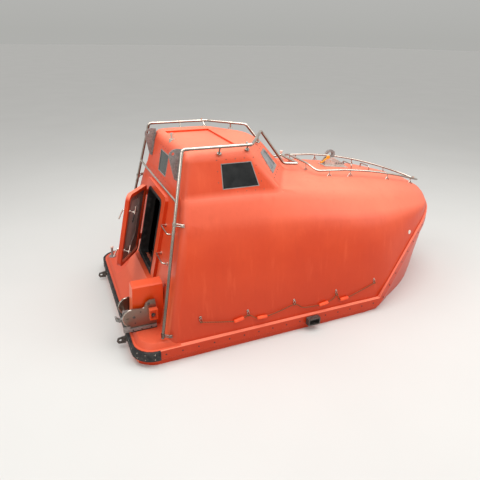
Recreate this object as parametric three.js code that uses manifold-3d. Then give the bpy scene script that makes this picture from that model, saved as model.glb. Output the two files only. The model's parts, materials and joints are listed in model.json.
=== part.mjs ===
// Small enclosed free-fall lifeboat, stored afloat with its aft door ajar
// Millimetres, +X to the bow, +Y to port, +Z up, origin on the waterline amidships
import * as THREE from 'three';
import { mergeVertices } from 'three/addons/utils/BufferGeometryUtils.js';
import Module from 'manifold-3d';

const wasm = await Module();
wasm.setup();

// Driving dimensions
const gap = 0.3;                 // clearance between pieces that touch
const seam = 120;                // bolt line of the hull flange above the water
const flangeHalf = 53;           // half height of the bolted flange band
const halfBeam = 1200;           // outer face of the flange band amidships
const sternX = -2330;
const kneeX = 609;               // where the flange turns up towards the bow
const tipX = 2100;
const shell = 40;                // laminate thickness of the canopy
const rake = 0.2;                // the aft wall leans forward by this much per unit of height
const wallFootX = -2012;         // aft wall at the height of the bolt line
const roofZ = seam + 1890;
const deckZ = seam + 100;        // top of the aft platform
const tube = 16;                 // radius of the stainless rails
const up = new THREE.Vector3(0, 0, 1);

// Materials
const paint = (color, roughness, metalness = 0) =>
  new THREE.MeshStandardMaterial({ color, roughness, metalness });
const orange = () => paint(0xe2522b, 0.35);
const steel = () => paint(0xb9b6b0, 0.3, 0.9);
const rubber = () => paint(0x1c1b1b, 0.8);
const glass = () => paint(0x2c3236, 0.1);
const grey = () => paint(0x6f6f70, 0.6);

// Solids from closed geometries and back
function solid(geometry) {
  const plain = geometry.index ? geometry.toNonIndexed() : geometry.clone();
  plain.deleteAttribute('normal');
  plain.deleteAttribute('uv');
  const merged = mergeVertices(plain, 1e-4);
  return new wasm.Manifold(new wasm.Mesh({
    numProp: 3,
    vertProperties: new Float32Array(merged.attributes.position.array),
    triVerts: new Uint32Array(merged.index.array),
  }));
}

function geometryOf(manifold) {
  const mesh = manifold.getMesh();
  const geometry = new THREE.BufferGeometry();
  geometry.setAttribute('position', new THREE.BufferAttribute(new Float32Array(mesh.vertProperties), 3));
  geometry.setIndex(new THREE.BufferAttribute(new Uint32Array(mesh.triVerts), 1));
  geometry.computeVertexNormals();
  return geometry;
}

const join = (first, ...rest) => rest.reduce((sum, next) => sum.add(next), first);
const cut = (first, ...rest) => rest.reduce((left, next) => left.subtract(next), first);
const mirrorY = (manifold) => manifold.mirror([0, 1, 0]);

// The largest of the bodies that a cut leaves, without its slivers
const largest = (manifold) => manifold.decompose().sort((a, b) => b.volume() - a.volume())[0];

// Radius of a faceted hole that clears a round pin of the given radius
const boreFor = (radius, sides = 16) => (radius + gap) / Math.cos(Math.PI / sides);

// A closed skin through sections of equal point count, capped by fans at both ends
function loft(sections) {
  const count = sections[0].length;
  const position = sections.flat().flatMap((point) => [point.x, point.y, point.z]);
  const index = [];
  for (let i = 0; i < sections.length - 1; i += 1) {
    for (let j = 0; j < count; j += 1) {
      const a = i * count + j;
      const b = i * count + (j + 1) % count;
      index.push(a, b, a + count, b, b + count, a + count);
    }
  }
  const cap = (section, offset, flip) => {
    const centre = section.reduce((sum, point) => sum.add(point), new THREE.Vector3());
    centre.divideScalar(count);
    const hub = position.length / 3;
    position.push(centre.x, centre.y, centre.z);
    for (let j = 0; j < count; j += 1) {
      const next = (j + 1) % count;
      index.push(hub, offset + (flip ? j : next), offset + (flip ? next : j));
    }
  };
  cap(sections[0], 0, false);
  cap(sections.at(-1), (sections.length - 1) * count, true);
  const geometry = new THREE.BufferGeometry();
  geometry.setAttribute('position', new THREE.Float32BufferAttribute(position, 3));
  geometry.setIndex(index);
  const body = solid(geometry);
  if (body.volume() > 0) return body;
  geometry.setIndex(index.map((_, i) => index[i - (i % 3) + 2 - (i % 3)]));
  return solid(geometry);
}

// A round bar through points, mitred at each of them
function bar(points, radius = tube, sides = 10) {
  const path = points.map((point) => new THREE.Vector3(...point));
  const ahead = path.map((point, i) => path[Math.min(i + 1, path.length - 1)].clone()
    .sub(path[Math.max(i - 1, 0)]).normalize());
  let side = new THREE.Vector3().crossVectors(ahead[0], up);
  if (side.length() < 0.1) side.set(0, 1, 0);
  const rings = path.map((point, i) => {
    side.sub(ahead[i].clone().multiplyScalar(side.dot(ahead[i]))).normalize();
    const other = new THREE.Vector3().crossVectors(ahead[i], side);
    const leg = i > 0 ? point.clone().sub(path[i - 1]).normalize() : ahead[i];
    const stretch = 1 / Math.max(Math.abs(leg.dot(ahead[i])), 0.6);
    const bend = ahead[i].clone().sub(leg);
    bend.sub(ahead[i].clone().multiplyScalar(bend.dot(ahead[i])));
    if (bend.length() > 1e-6) bend.normalize();
    return Array.from({ length: sides }, (_, k) => {
      const angle = (k / sides) * 2 * Math.PI;
      const out = side.clone().multiplyScalar(radius * Math.cos(angle))
        .addScaledVector(other, radius * Math.sin(angle));
      out.addScaledVector(bend, out.dot(bend) * (stretch - 1));
      return point.clone().add(out);
    });
  });
  return loft(rings);
}

// Points of a polyline with each inner corner rounded
function rounded(points, radius, steps = 4) {
  const path = points.map((point) => new THREE.Vector3(...point));
  const out = [path[0]];
  for (let i = 1; i < path.length - 1; i += 1) {
    const back = path[i - 1].clone().sub(path[i]);
    const on = path[i + 1].clone().sub(path[i]);
    const reach = Math.min(radius, back.length() * 0.45, on.length() * 0.45);
    const from = path[i].clone().addScaledVector(back.normalize(), reach);
    const to = path[i].clone().addScaledVector(on.normalize(), reach);
    const arc = new THREE.QuadraticBezierCurve3(from, path[i], to);
    out.push(...arc.getPoints(steps));
  }
  out.push(path.at(-1));
  return out.map((point) => [point.x, point.y, point.z]);
}

function box(x0, x1, y0, y1, z0, z1) {
  const geometry = new THREE.BoxGeometry(x1 - x0, y1 - y0, z1 - z0);
  geometry.translate((x0 + x1) / 2, (y0 + y1) / 2, (z0 + z1) / 2);
  return solid(geometry);
}

// A cylinder from one point to another
const rod = (from, to, radius, sides = 16) => bar([from, to], radius, sides);

// A flat outline given in X and Z, with its thickness from y0 to y1
function plate(outline, y0, y1, holes = []) {
  const shape = new THREE.Shape(outline.map(([x, z]) => new THREE.Vector2(x, z)));
  const geometry = new THREE.ExtrudeGeometry(shape, { depth: y1 - y0, bevelEnabled: false });
  geometry.rotateX(Math.PI / 2);
  geometry.translate(0, y1, 0);
  return cut(solid(geometry), ...holes.map(([x, z, r]) => rod([x, y0 - 5, z], [x, y1 + 5, z], r)));
}

// A rounded rectangle as points of a plane
function roundRect(width, height, radius, steps = 4) {
  const points = [];
  const corners = [[1, 1, 0], [-1, 1, 1], [-1, -1, 2], [1, -1, 3]];
  for (const [sx, sy, quarter] of corners) {
    for (let k = 0; k <= steps; k += 1) {
      const angle = (quarter + k / steps) * Math.PI / 2;
      points.push([sx * (width / 2 - radius) + radius * Math.cos(angle),
        sy * (height / 2 - radius) + radius * Math.sin(angle)]);
    }
  }
  return points;
}

// A prism of any outline on a local plane: points are a * u + b * v, thickness along n
function prism(origin, u, v, n, outline, depth0, depth1) {
  const ring = (depth) => outline.map(([a, b]) => new THREE.Vector3(...origin)
    .addScaledVector(u, a).addScaledVector(v, b).addScaledVector(n, depth));
  return loft([ring(depth0), ring(depth1)]);
}

const lifeboat = new THREE.Group();
function add(name, manifold, material, parent = lifeboat) {
  const mesh = new THREE.Mesh(geometryOf(manifold), material);
  mesh.name = name;
  parent.add(mesh);
  return mesh;
}

// A starboard piece and its mirror image, each trimmed against what it lies on
function addPair(name, manifold, material, trim = (piece) => piece, parent = lifeboat) {
  add(`${name}_starboard`, trim(manifold), material(), parent);
  add(`${name}_port`, trim(mirrorY(manifold)), material(), parent);
}

// Flange line: level along the side, then up and round to the stem
const bowLine = [
  // x, half breadth, height above the bolt line
  [kneeX, 1200, 0],
  [853, 1113, 250],
  [1099, 1008, 459],
  [1361, 873, 628],
  [1634, 701, 732],
  [1875, 475, 790],
  [2035, 225, 812],
  [tipX, 0, 820],
];
const bowPoints = bowLine.map(([x, y, z]) => new THREE.Vector3(x, y, z));
const bowCurve = new THREE.CatmullRomCurve3([
  ...bowPoints,
  ...bowPoints.slice(0, -1).reverse().map((point) => new THREE.Vector3(point.x, -point.y, point.z)),
]);
const bowSamples = bowCurve.getPoints(60).slice(0, 31);

// Half breadth and height of the flange line, and its half height measured upright
function railAt(x) {
  if (x <= kneeX) return { y: halfBeam, z: seam, half: flangeHalf };
  const next = bowSamples.findIndex((point) => point.x >= x);
  const i = next < 0 ? bowSamples.length - 1 : Math.max(next, 1);
  const a = bowSamples[i - 1];
  const b = bowSamples[i];
  const t = Math.min((x - a.x) / (b.x - a.x), 1);
  return {
    y: a.y + (b.y - a.y) * t,
    z: seam + a.z + (b.z - a.z) * t,
    half: flangeHalf * b.distanceTo(a) / Math.hypot(b.x - a.x, b.y - a.y),
  };
}

// A symmetric closed section from its starboard half, given as [y, z] from top to bottom
const section = (x, half, lean = 0) => [
  ...half.map(([y, z]) => new THREE.Vector3(x + lean * (z - seam), -y, z)),
  ...half.slice().reverse().map(([y, z]) => new THREE.Vector3(x + lean * (z - seam), y, z)),
];

// Rows of a table with a smooth extra row between each two
function refine(rows) {
  const curve = (a, b, c, d) => (9 * (b + c) - a - d) / 16;
  return rows.flatMap((row, i) => {
    const after = rows[i + 1];
    if (!after) return [row];
    const before = rows[i - 1] ?? row;
    const later = rows[i + 2] ?? after;
    return [row, row.map((value, k) => (k === 0 ? (value + after[0]) / 2
      : curve(before[k], value, after[k], later[k])))];
  });
}

// Everything below the joint of hull and canopy
const jointRows = [{ x: -2700, z: seam }, { x: kneeX, z: seam },
  ...bowSamples.slice(1).map((point) => ({ x: point.x, z: seam + point.z })),
  { x: 2400, z: seam + bowSamples.at(-1).z }];
const belowJoint = (lift) => loft(jointRows.map(({ x, z }) => [
  new THREE.Vector3(x, -1600, -900), new THREE.Vector3(x, 1600, -900),
  new THREE.Vector3(x, 1600, z + lift), new THREE.Vector3(x, -1600, z + lift),
]));

// Hull, solid below the flange, with the cabin well cut in it
const bandInset = 8;
const hullStations = [
  // x, inset from the flange, half breadth at the water, bilge half breadth, bilge height, keel height
  [sternX + 8, 215, 985, 800, -110, -150],
  [-2290, 105, 1085, 900, -110, -160],
  [-2200, 32, 1150, 960, -110, -175],
  [-2125, bandInset, 1176, 990, -115, -180],
  [-2105, bandInset, 1177, 992, -117, -182],
  [-2040, bandInset, 1178, 995, -125, -190],
  [-1800, bandInset, 1180, 1010, -170, -230],
  [-1450, bandInset, 1180, 1020, -300, -470],
  [-1000, bandInset, 1180, 1020, -330, -560],
  [0, bandInset, 1178, 1000, -320, -560],
  [kneeX, bandInset, 1150, 920, -280, -545],
  [909, bandInset, 992, 760, -240, -515],
  [1222, bandInset, 831, 600, -190, -460],
  [1500, bandInset, 655, 440, -150, -380],
  [1807, bandInset, 410, 240, -110, -240],
  [1980, bandInset, 220, 120, -70, -110],
  [2060, bandInset, 95, 60, 10, -10],
];
const hullSection = (swell) => ([x, inset, waterY, bilgeY, bilgeZ, keelZ]) => {
  const rail = railAt(x);
  return section(x, [
    [rail.y - inset + swell, rail.z + 90],
    [rail.y - inset + swell, rail.z - rail.half],
    [waterY + swell, Math.min(-20, rail.z - 150)],
    [bilgeY + (waterY - bilgeY) * 0.6, bilgeZ * 0.75],
    [bilgeY, bilgeZ - 25],
    [40, keelZ],
  ]);
};
const wellPlan = [[-1500, 940], [500, 960], [1250, 560]];
const aftWellPlan = [[-1880, 940], [-1480, 940]];
const soleZ = -190;
const aftSoleZ = -40;
function prismZ(outline, z0, z1) {
  const ring = (z) => outline.map(([x, y]) => new THREE.Vector3(x, y, z));
  return loft([ring(z0), ring(z1)]);
}
const symmetric = (half) => [...half.map(([x, y]) => [x, -y]), ...half.slice().reverse()];
const keelFoot = -700;
const skegHalf = 30;
const skegAft = -1900;
const skegOutline = [
  [skegAft, -225], [-1150, -500], [900, -500], [700, -600], [-900, keelFoot], [skegAft, keelFoot],
];
const heelOutline = [
  [skegAft - gap, keelFoot], [-2290, keelFoot], [-2290, keelFoot + 45], [skegAft - gap, keelFoot + 60],
];
const propX = -2120;
const propZ = -425;
const shaftRadius = 20;
const stockRadius = 18;
const pintleRadius = 14;
const engineBox = [-1230, -620, -200, 200, -445, soleZ - 20];
const [engineAft, engineFore, engineRight, engineLeft, engineFoot] = engineBox;
const engineWell = box(engineAft - 10, engineFore + 10, engineRight - 10, engineLeft + 10,
  engineFoot - gap, soleZ + 5);
const shaftBore = rod([-1950, 0, propZ], [engineAft + 5, 0, propZ], boreFor(shaftRadius));
const hullBody = loft(refine(hullStations).map(hullSection(0))).intersect(belowJoint(0));
const hull = cut(
  hullBody,
  prismZ(symmetric(wellPlan), soleZ, 2400),
  prismZ(symmetric(aftWellPlan), aftSoleZ, 2400),
  engineWell,
  shaftBore,
  rod([propX, 0, -330], [propX, 0, 55], boreFor(stockRadius)),
);
add('hull', hull, orange());

// Skeg under the hull with the stern tube, and behind it the heel that carries the foot of the nozzle
const skeg = cut(
  join(plate(skegOutline, -skegHalf, skegHalf), rod([-1930, 0, propZ], [-1600, 0, propZ + 0.1], 48)),
  hullBody,
  hullBody.translate([-gap, 0, -gap]),
  shaftBore,
);
add('keel_skeg', largest(skeg), orange());
const heel = join(plate(heelOutline, -skegHalf, skegHalf),
  rod([propX, 0, keelFoot + 5], [propX, 0, keelFoot + 58], 40));
add('skeg_heel', cut(heel, rod([propX, 0, keelFoot + 25], [propX, 0, keelFoot + 80], boreFor(pintleRadius))),
  orange());

// Canopy body stations, all heights above the bolt line
const bodyStations = [
  // x, lean, base y, chest y, chest z, shoulder y, shoulder z, deck edge y, deck edge z, crown z
  [wallFootX, rake, 1090, 920, 1130, 735, 1488, 560, 1492, 1496],
  [wallFootX + 12, rake, 1124, 950, 1130, 768, 1488, 590, 1494, 1498],
  [wallFootX + 36, rake * 0.98, 1147, 972, 1130, 793, 1488, 600, 1496, 1500],
  [wallFootX + 84, rake * 0.93, 1160, 985, 1130, 808, 1488, 600, 1496, 1500],
  [wallFootX + 90, rake * 0.92, 1160, 985, 1130, 808, 1488, 600, 1496, 1500],
  [-1250, rake * 0.3, 1165, 1000, 1120, 812, 1480, 600, 1490, 1495],
  [-640, 0, 1165, 1015, 1105, 808, 1458, 600, 1466, 1470],
  [-200, 0, 1165, 1030, 1080, 800, 1375, 490, 1445, 1460],
  [300, 0, 1165, 1040, 1040, 780, 1300, 440, 1400, 1430],
  [kneeX, 0, 1165, 1020, 1020, 755, 1255, 430, 1362, 1393],
  [870, 0, 1100, 968, 1005, 725, 1212, 415, 1322, 1352],
  [1230, 0, 940, 868, 975, 650, 1150, 385, 1255, 1285],
  [1540, 0, 760, 728, 940, 555, 1082, 335, 1178, 1204],
  [1800, 0, 550, 538, 912, 420, 1012, 255, 1090, 1112],
  [1965, 0, 340, 335, 890, 270, 955, 160, 1012, 1030],
  [2050, 0, 180, 165, 872, 135, 910, 80, 945, 956],
  [2085, 0, 80, 70, 860, 58, 880, 35, 900, 905],
];
const softHalf = (points, radii) => {
  const out = [points[0]];
  for (let i = 1; i < points.length - 1; i += 1) {
    const [before, here, after] = [points[i - 1], points[i], points[i + 1]];
    const share = radii[i - 1];
    if (share === 0) {
      out.push(here);
      continue;
    }
    const lerp = (p, q, t) => [p[0] + (q[0] - p[0]) * t, p[1] + (q[1] - p[1]) * t];
    const from = lerp(here, before, share);
    const to = lerp(here, after, share);
    for (let k = 0; k <= 3; k += 1) {
      const t = k / 3;
      out.push(lerp(lerp(from, here, t), lerp(here, to, t), t));
    }
  }
  out.push(points.at(-1));
  return out;
};
const bodySection = (thickness, drop) => ([x, lean, baseY, chestY, chestZ, shoulderY, shoulderZ,
  edgeY, edgeZ, crownZ]) => {
  const rail = railAt(x);
  const base = x > kneeX ? rail.y - bandInset - 12 : baseY;
  const flange = x > wallFootX + 85 ? rail.y - bandInset : base;
  const t = thickness;
  const half = softHalf([
    [Math.max(flange - t, 22), rail.z - 90 - drop],
    [Math.max(flange - t, 22), rail.z + rail.half - 6],
    [Math.max(base - t, 20), rail.z + rail.half],
    [Math.max(chestY - t, 18), seam + chestZ - t * 0.4],
    [Math.max(shoulderY - t * 0.6, 14), seam + shoulderZ - t * 0.9],
    [Math.max(edgeY - t * 0.3, 8), seam + edgeZ - t],
    [4, seam + crownZ - t],
  ], [0, 0, 0.3, 0.28, 0.3]);
  return section(x, half, lean);
};
const body = loft(refine(bodyStations).map(bodySection(0, 0)));
const longer = ([first, ...rest]) => [[first[0] - gap, ...first.slice(1)], ...rest];
const growth = 0.6;
const grownBody = loft(refine(longer(bodyStations)).map(bodySection(-growth, 0)));
const grownHull = loft(refine(longer(hullStations)).map(hullSection(growth)));

// Wheelhouse: sill and roof outlines, wider at the sill, with the aft side on the raked wall
const wallX = (z) => wallFootX + rake * (z - seam);
const houseRing = (z, halfWidth, sideEnd, noseX, noseY, inset, corner) => {
  const aft = wallX(z) + inset;
  const outline = [
    [aft, 0, 0],
    [aft, -(halfWidth - inset), 0],
    [sideEnd - inset * 0.6, -(halfWidth - inset), 0],
    [noseX - inset, -(noseY - inset * 0.3), 0],
    [noseX - inset, 0, 0],
  ];
  const half = rounded(outline, corner, 4).map(([x, y]) => [x, y]);
  return [
    ...half.map(([x, y]) => new THREE.Vector3(x, y, z)),
    ...half.slice(1, -1).reverse().map(([x, y]) => new THREE.Vector3(x, -y, z)),
  ];
};
const houseRings = [
  // height above the bolt line, half width, side end x, nose x, nose half width, extra inset of the roof edge
  [1380, 826, -560, -140, 130, 0],
  [1790, 716, -880, -530, 190, 0],
  [1845, 704, -910, -570, 195, 14],
  [1877, 694, -928, -596, 200, 38],
  [1890, 690, -935, -606, 200, 72],
];
const house = (inset, top) => loft(houseRings.slice(0, top)
  .map(([z, halfWidth, sideEnd, noseX, noseY, edge]) =>
    houseRing(seam + z, halfWidth, sideEnd, noseX, noseY, inset + edge, 90)));

// Cabin void, open at the bottom and closed by the solid bow
const innerStations = bodyStations.filter(([x]) => x > wallFootX + 30 && x < 1500)
  .map((row) => [row[0] + (row[0] < -1500 ? shell - 10 : 0), ...row.slice(1)]);
const cabinVoid = join(
  loft(innerStations.map(bodySection(shell, 900))),
  loft(houseRings.slice(0, 2).map(([z, halfWidth, sideEnd, noseX, noseY], i) =>
    houseRing(seam + z + (i ? 30 : -60), halfWidth, sideEnd, noseX, noseY, shell, 60))),
);

// Frame of the raked aft wall
const wallUp = new THREE.Vector3(rake, 0, 1).normalize();
const wallOut = new THREE.Vector3(-1, 0, rake).normalize();
const portward = new THREE.Vector3(0, 1, 0);
const onWall = (y, z, out = 0) => new THREE.Vector3(wallX(z), y, z).addScaledVector(wallOut, out);

// Doorway and its raised surround
const door = { y0: -262, y1: 306, z0: seam + 432, z1: seam + 1266, radius: 60 };
const doorMid = onWall((door.y0 + door.y1) / 2, (door.z0 + door.z1) / 2);
const doorTall = (door.z1 - door.z0) / wallUp.z;
const doorWide = door.y1 - door.y0;
const surroundProud = 36;
const surroundOutline = [[-425, -760], [425, -760], [425, 480], [395, 515], [-395, 515], [-425, 480]];
const surroundAt = onWall(30, door.z0 + 405);
const swollen = (outline, by) => outline.map(([a, b]) => [a + Math.sign(a) * by, b + Math.sign(b) * by]);
const surroundBlock = (swell) => prism(surroundAt.toArray(), portward, wallUp, wallOut,
  swollen(surroundOutline, swell), -12, surroundProud + swell);
const surround = surroundBlock(0);
const skin = join(grownBody, house(-growth, 5), surroundBlock(gap));
const offSkin = (piece) => largest(piece.subtract(skin));

// Hinge of the door: fixed ears and pins here, the leaf in this frame further down
const hinge = {
  y: 336, z: seam + 900, out: surroundProud + 14, open: 31, pin: 5, barrel: 11, spread: 290, knuckle: 28,
};
const hingeFrame = new THREE.Matrix4().makeBasis(wallOut.clone().negate(), portward, wallUp)
  .setPosition(onWall(hinge.y, hinge.z, hinge.out));
const earAt = (z) => join(
  box(0, hinge.out - surroundProud + 4, -8, 8, z - 5, z + 5),
  rod([0, 0, z - 5], [0, 0, z + 5], 8),
);
const hingeEars = join(...[1, -1].flatMap((side) => {
  const middle = side * hinge.spread;
  const reach = hinge.knuckle + 6;
  const pin = rod([0, 0, middle - reach], [0, 0, middle + reach], hinge.pin);
  return [earAt(middle - reach), earAt(middle + reach), pin];
})).transform(hingeFrame.elements);
const doorCut = prism(doorMid.toArray(), portward, wallUp, wallOut,
  roundRect(doorWide, doorTall, door.radius), -140, 160);

// Windows: each is a pane on its own flat place, set in a cut through the wall
const sideLean = (826 - 716) / (1790 - 1380);
const paneThick = 8;
const sideSlope = new THREE.Vector3(0, sideLean, 1).normalize();
const sideOut = new THREE.Vector3(0, -1, sideLean).normalize();
const sideY = (z) => 826 - (z - seam - 1380) * sideLean;
const forward = new THREE.Vector3(1, 0, 0);
const sideWindow = {
  x: -1090, z: seam + 1640, outline: [[-192, 128], [140, 128], [212, -128], [-192, -128]],
};
const sideWindowAt = [sideWindow.x, -sideY(sideWindow.z), sideWindow.z];
const windowCut = (at, u, v, n, outline) => prism(at, u, v, n, outline, -120, 60);
const windowPane = (at, u, v, n, outline) =>
  prism(at, u, v, n, swollen(outline, -1), -paneThick - 4, -4);
const sideCut = windowCut(sideWindowAt, forward, sideSlope, sideOut, sideWindow.outline);
const sidePane = windowPane(sideWindowAt, forward, sideSlope, sideOut, sideWindow.outline);

// Diagonal front face of the wheelhouse
const diagonal = {
  roof: new THREE.Vector3(-880, -716, seam + 1790),
  nose: new THREE.Vector3(-530, -190, seam + 1790),
  foot: new THREE.Vector3(-560, -826, seam + 1380),
};
const diagonalAlong = diagonal.nose.clone().sub(diagonal.roof).normalize();
const diagonalDrop = diagonal.foot.clone().sub(diagonal.roof);
const diagonalOut = new THREE.Vector3().crossVectors(diagonalDrop, diagonalAlong).normalize();
if (diagonalOut.z < 0) diagonalOut.negate();
const diagonalUp = new THREE.Vector3().crossVectors(diagonalOut, diagonalAlong).normalize();
if (diagonalUp.z < 0) diagonalUp.negate();
const frontWindow = {
  along: 375, down: 110, outline: [[-120, 105], [100, 105], [125, -140], [-205, -140]],
};
const frontWindowAt = diagonal.roof.clone().addScaledVector(diagonalAlong, frontWindow.along)
  .addScaledVector(diagonalUp, -frontWindow.down).toArray();
const frontCut = windowCut(frontWindowAt, diagonalAlong, diagonalUp, diagonalOut, frontWindow.outline);
const frontPane = windowPane(frontWindowAt, diagonalAlong, diagonalUp, diagonalOut, frontWindow.outline);

// Small window in the aft wall above the door
const aftWindow = { y: 25, z: seam + 1620, outline: [[-166, 120], [166, 120], [156, -120], [-156, -120]] };
const aftWindowAt = onWall(aftWindow.y, aftWindow.z).toArray();
const aftCut = windowCut(aftWindowAt, portward, wallUp, wallOut, aftWindow.outline);
const aftPane = windowPane(aftWindowAt, portward, wallUp, wallOut, aftWindow.outline);

// The moulding above the joint, parted into the aft bulkhead, the wheelhouse and the canopy
const bulkheadDepth = 92;
const houseFoot = { z: seam + 1385, fore: -150 };
const behindWall = (depth) => prism(onWall(0, seam + 900).toArray(), portward, wallUp, wallOut,
  [[-1500, -1200], [1500, -1200], [1500, 1400], [-1500, 1400]], -depth, 400);
const aboveSill = (grow) => box(-2500, houseFoot.fore + grow, -1500, 1500, houseFoot.z - grow, 2500);
const roofRecess = box(-1555, -1015, -430, 430, roofZ - 22, roofZ + 60);
const moulding = cut(join(body, house(0, 5), surround), cabinVoid, doorCut, sideCut, mirrorY(sideCut),
  frontCut, mirrorY(frontCut), aftCut, roofRecess, belowJoint(gap));
const foreOfWall = moulding.subtract(behindWall(bulkheadDepth + gap));
add('canopy', largest(foreOfWall.subtract(aboveSill(gap))), orange());
add('wheelhouse', largest(foreOfWall.intersect(aboveSill(0))), orange());
add('aft_bulkhead', largest(moulding.intersect(behindWall(bulkheadDepth))).add(hingeEars), orange());
addPair('side_window', sidePane, glass);
addPair('front_window', frontPane, glass);
add('aft_window', aftPane, glass());

// Aft platform moulding, with the ramp under the door and the fairing of the hook
const deckRing = (z, inset) => {
  const aft = sternX + 10 + inset;
  const side = halfBeam - bandInset - 2 - inset;
  const corner = 205 - inset * 0.4;
  const outline = [];
  for (let k = 0; k <= 6; k += 1) {
    const angle = (k / 6) * Math.PI / 2;
    outline.push([aft + corner * (1 - Math.sin(angle)), side - corner * (1 - Math.cos(angle))]);
  }
  outline.reverse();
  const half = [...outline, [wallFootX + 138, side]];
  return [
    ...half.map(([x, y]) => new THREE.Vector3(x, -y, z)),
    ...half.slice().reverse().map(([x, y]) => new THREE.Vector3(x, y, z)),
  ];
};
const deckRings = [
  // height above the bolt line, inset from the flange
  [gap, 0],
  [flangeHalf - 2, 0],
  [flangeHalf, 22],
  [88, 48],
  [100, 62],
];
const ramp = plate([
  [-1900, deckZ - 20], [-2290, deckZ - 20], [-2265, deckZ + 8], [-2190, deckZ + 55], [-2120, deckZ + 130],
  [-2060, deckZ + 235], [-2020, deckZ + 305], [-1900, deckZ + 305],
], -352, 392);
const fairing = { aft: -2288, y0: -802, y1: -652, top: seam + 585 };
const fairingRings = [
  // height, aft end, narrowing on each side
  [deckZ - 20, fairing.aft, -12],
  [fairing.top - 14, fairing.aft + 26, -2],
  [fairing.top, fairing.aft + 42, 14],
];
const fairingBlock = (swell) => loft(fairingRings.map(([z, aft, narrow]) => {
  const [x0, y0, y1] = [aft - swell, fairing.y0 + narrow - swell, fairing.y1 - narrow + swell];
  const corners = [[x0, y0], [-1800, y0], [-1800, y1], [x0, y1]];
  return corners.map(([x, y]) => new THREE.Vector3(x, y, z + swell));
}));
const platformBlock = (swell) => loft(deckRings
  .map(([z, inset]) => deckRing(seam + z + (z > gap ? swell : 0), inset - swell)));
const underCabin = box(-1950, -1000, -980, 980, 0, 800);
const aftPlatform = join(platformBlock(0), ramp, fairingBlock(0)).subtract(underCabin);
add('aft_platform', offSkin(aftPlatform), orange());

// Bolted flange band along each side, from the fender round to the stem
const band = { thick: 14, start: -2090, inner: gap - bandInset, chamfer: 4 };
const bandPath = [new THREE.Vector3(band.start, -halfBeam, seam),
  ...bowSamples.map((point) => new THREE.Vector3(point.x, -point.y, seam + point.z))];
const bandRings = (path, thick) => path.map((point, i) => {
  const ahead = path[Math.min(i + 1, path.length - 1)].clone().sub(path[Math.max(i - 1, 0)]).normalize();
  const out = new THREE.Vector3().crossVectors(ahead, up).normalize();
  const rise = new THREE.Vector3().crossVectors(out, ahead).normalize();
  const corner = (a, b) => point.clone().addScaledVector(out, band.inner + a).addScaledVector(rise, b);
  const soft = flangeHalf - band.chamfer;
  return [corner(0, flangeHalf), corner(thick - band.chamfer, flangeHalf), corner(thick, soft),
    corner(thick, -soft), corner(thick - band.chamfer, -flangeHalf), corner(0, -flangeHalf)];
});
const grownPlatform = platformBlock(growth);
const coreEnd = bodyStations.at(-1)[0] + 1;
const coreStations = [band.start - 60, kneeX,
  ...bowSamples.slice(1).map(({ x }) => x).filter((x) => x < coreEnd), coreEnd];
const flangeCore = loft(coreStations.map((x) => {
  const rail = railAt(x);
  const y = rail.y - bandInset + growth;
  return section(x, [[y, rail.z + 100], [y, rail.z - 100]]);
}));
const offFlange = (piece) => largest(piece.subtract(flangeCore));
const starboardHalf = box(-3000, 3000, -2000, -gap / 2, -500, 3000);
const bandSide = loft(bandRings(bandPath, band.thick)).intersect(starboardHalf);
addPair('flange_band', bandSide, orange, offFlange);
const bandFace = halfBeam + band.inner + band.thick;

// Rubber fender round the stern
const fender = { thick: 26, corner: 205 };
const fenderCorner = Array.from({ length: 7 }, (_, k) => {
  const angle = (k / 6) * Math.PI / 2;
  return new THREE.Vector3(sternX + fender.corner * (1 - Math.sin(angle)),
    halfBeam - fender.corner * (1 - Math.cos(angle)), seam);
});
const fenderSide = [new THREE.Vector3(band.start - gap, halfBeam, seam), ...fenderCorner];
const fenderPath = [...fenderSide,
  ...fenderSide.slice().reverse().map(({ x, y, z }) => new THREE.Vector3(x, -y, z))];
const sternFender = cut(loft(bandRings(fenderPath, fender.thick)), grownHull, grownPlatform);
add('stern_fender', largest(sternFender), rubber());
const fenderFace = sternX - band.inner - fender.thick;

// Door gasket, leaf, its pane and its two through handles
const gasketProud = 8;
const doorRing = (grow, radius, low, high) => prism(doorMid.toArray(), portward, wallUp, wallOut,
  roundRect(doorWide + grow, doorTall + grow, radius), low, high);
const gasket = cut(doorRing(24, door.radius + 10, surroundProud + gap, surroundProud + gasketProud),
  doorRing(4, door.radius, 0, 80));
add('door_gasket', gasket, rubber());

const leaf = { edge: 15, width: 596, bottom: -478, top: 386, thick: 44, radius: 70, frame: 42 };
const doorSwing = new THREE.Group();
doorSwing.applyMatrix4(hingeFrame);
const doorBody = new THREE.Group();
doorBody.rotation.z = -THREE.MathUtils.degToRad(hinge.open);
doorSwing.add(doorBody);
lifeboat.add(doorSwing);
const leafInner = -2;
const leafOuter = leafInner - leaf.thick;
const leafMidY = -leaf.edge - leaf.width / 2;
const leafMidZ = (leaf.bottom + leaf.top) / 2;
const leafTall = leaf.top - leaf.bottom;
const [ux, uy, uz] = [new THREE.Vector3(0, 1, 0), new THREE.Vector3(0, 0, 1), new THREE.Vector3(1, 0, 0)];
const leafPrism = (outline, x0, x1) => prism([0, leafMidY, leafMidZ], ux, uy, uz, outline, x0, x1);
const paneOutline = [[-150, -290], [60, -290], [165, -170], [165, 260], [110, 330], [-150, 330]];
const barrelRuns = [1, -1].map((side) => [-1, 1].map((end) => side * hinge.spread + end * hinge.knuckle));
const barrels = barrelRuns.map(([z0, z1]) => rod([0, 0, z0], [0, 0, z1], hinge.barrel));
const barrelLugs = barrelRuns.map(([z0, z1]) =>
  box(leafOuter + 12, -1, -leaf.edge - 20, -4, z0 + 4, z1 - 4));
const handleHeights = [185, -285];
const handleY = -leaf.edge - leaf.width + 68;
const pinRun = rod([0, 0, -hinge.spread - 80], [0, 0, hinge.spread + 80], boreFor(hinge.pin));
const spindleRadius = 8;
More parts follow.
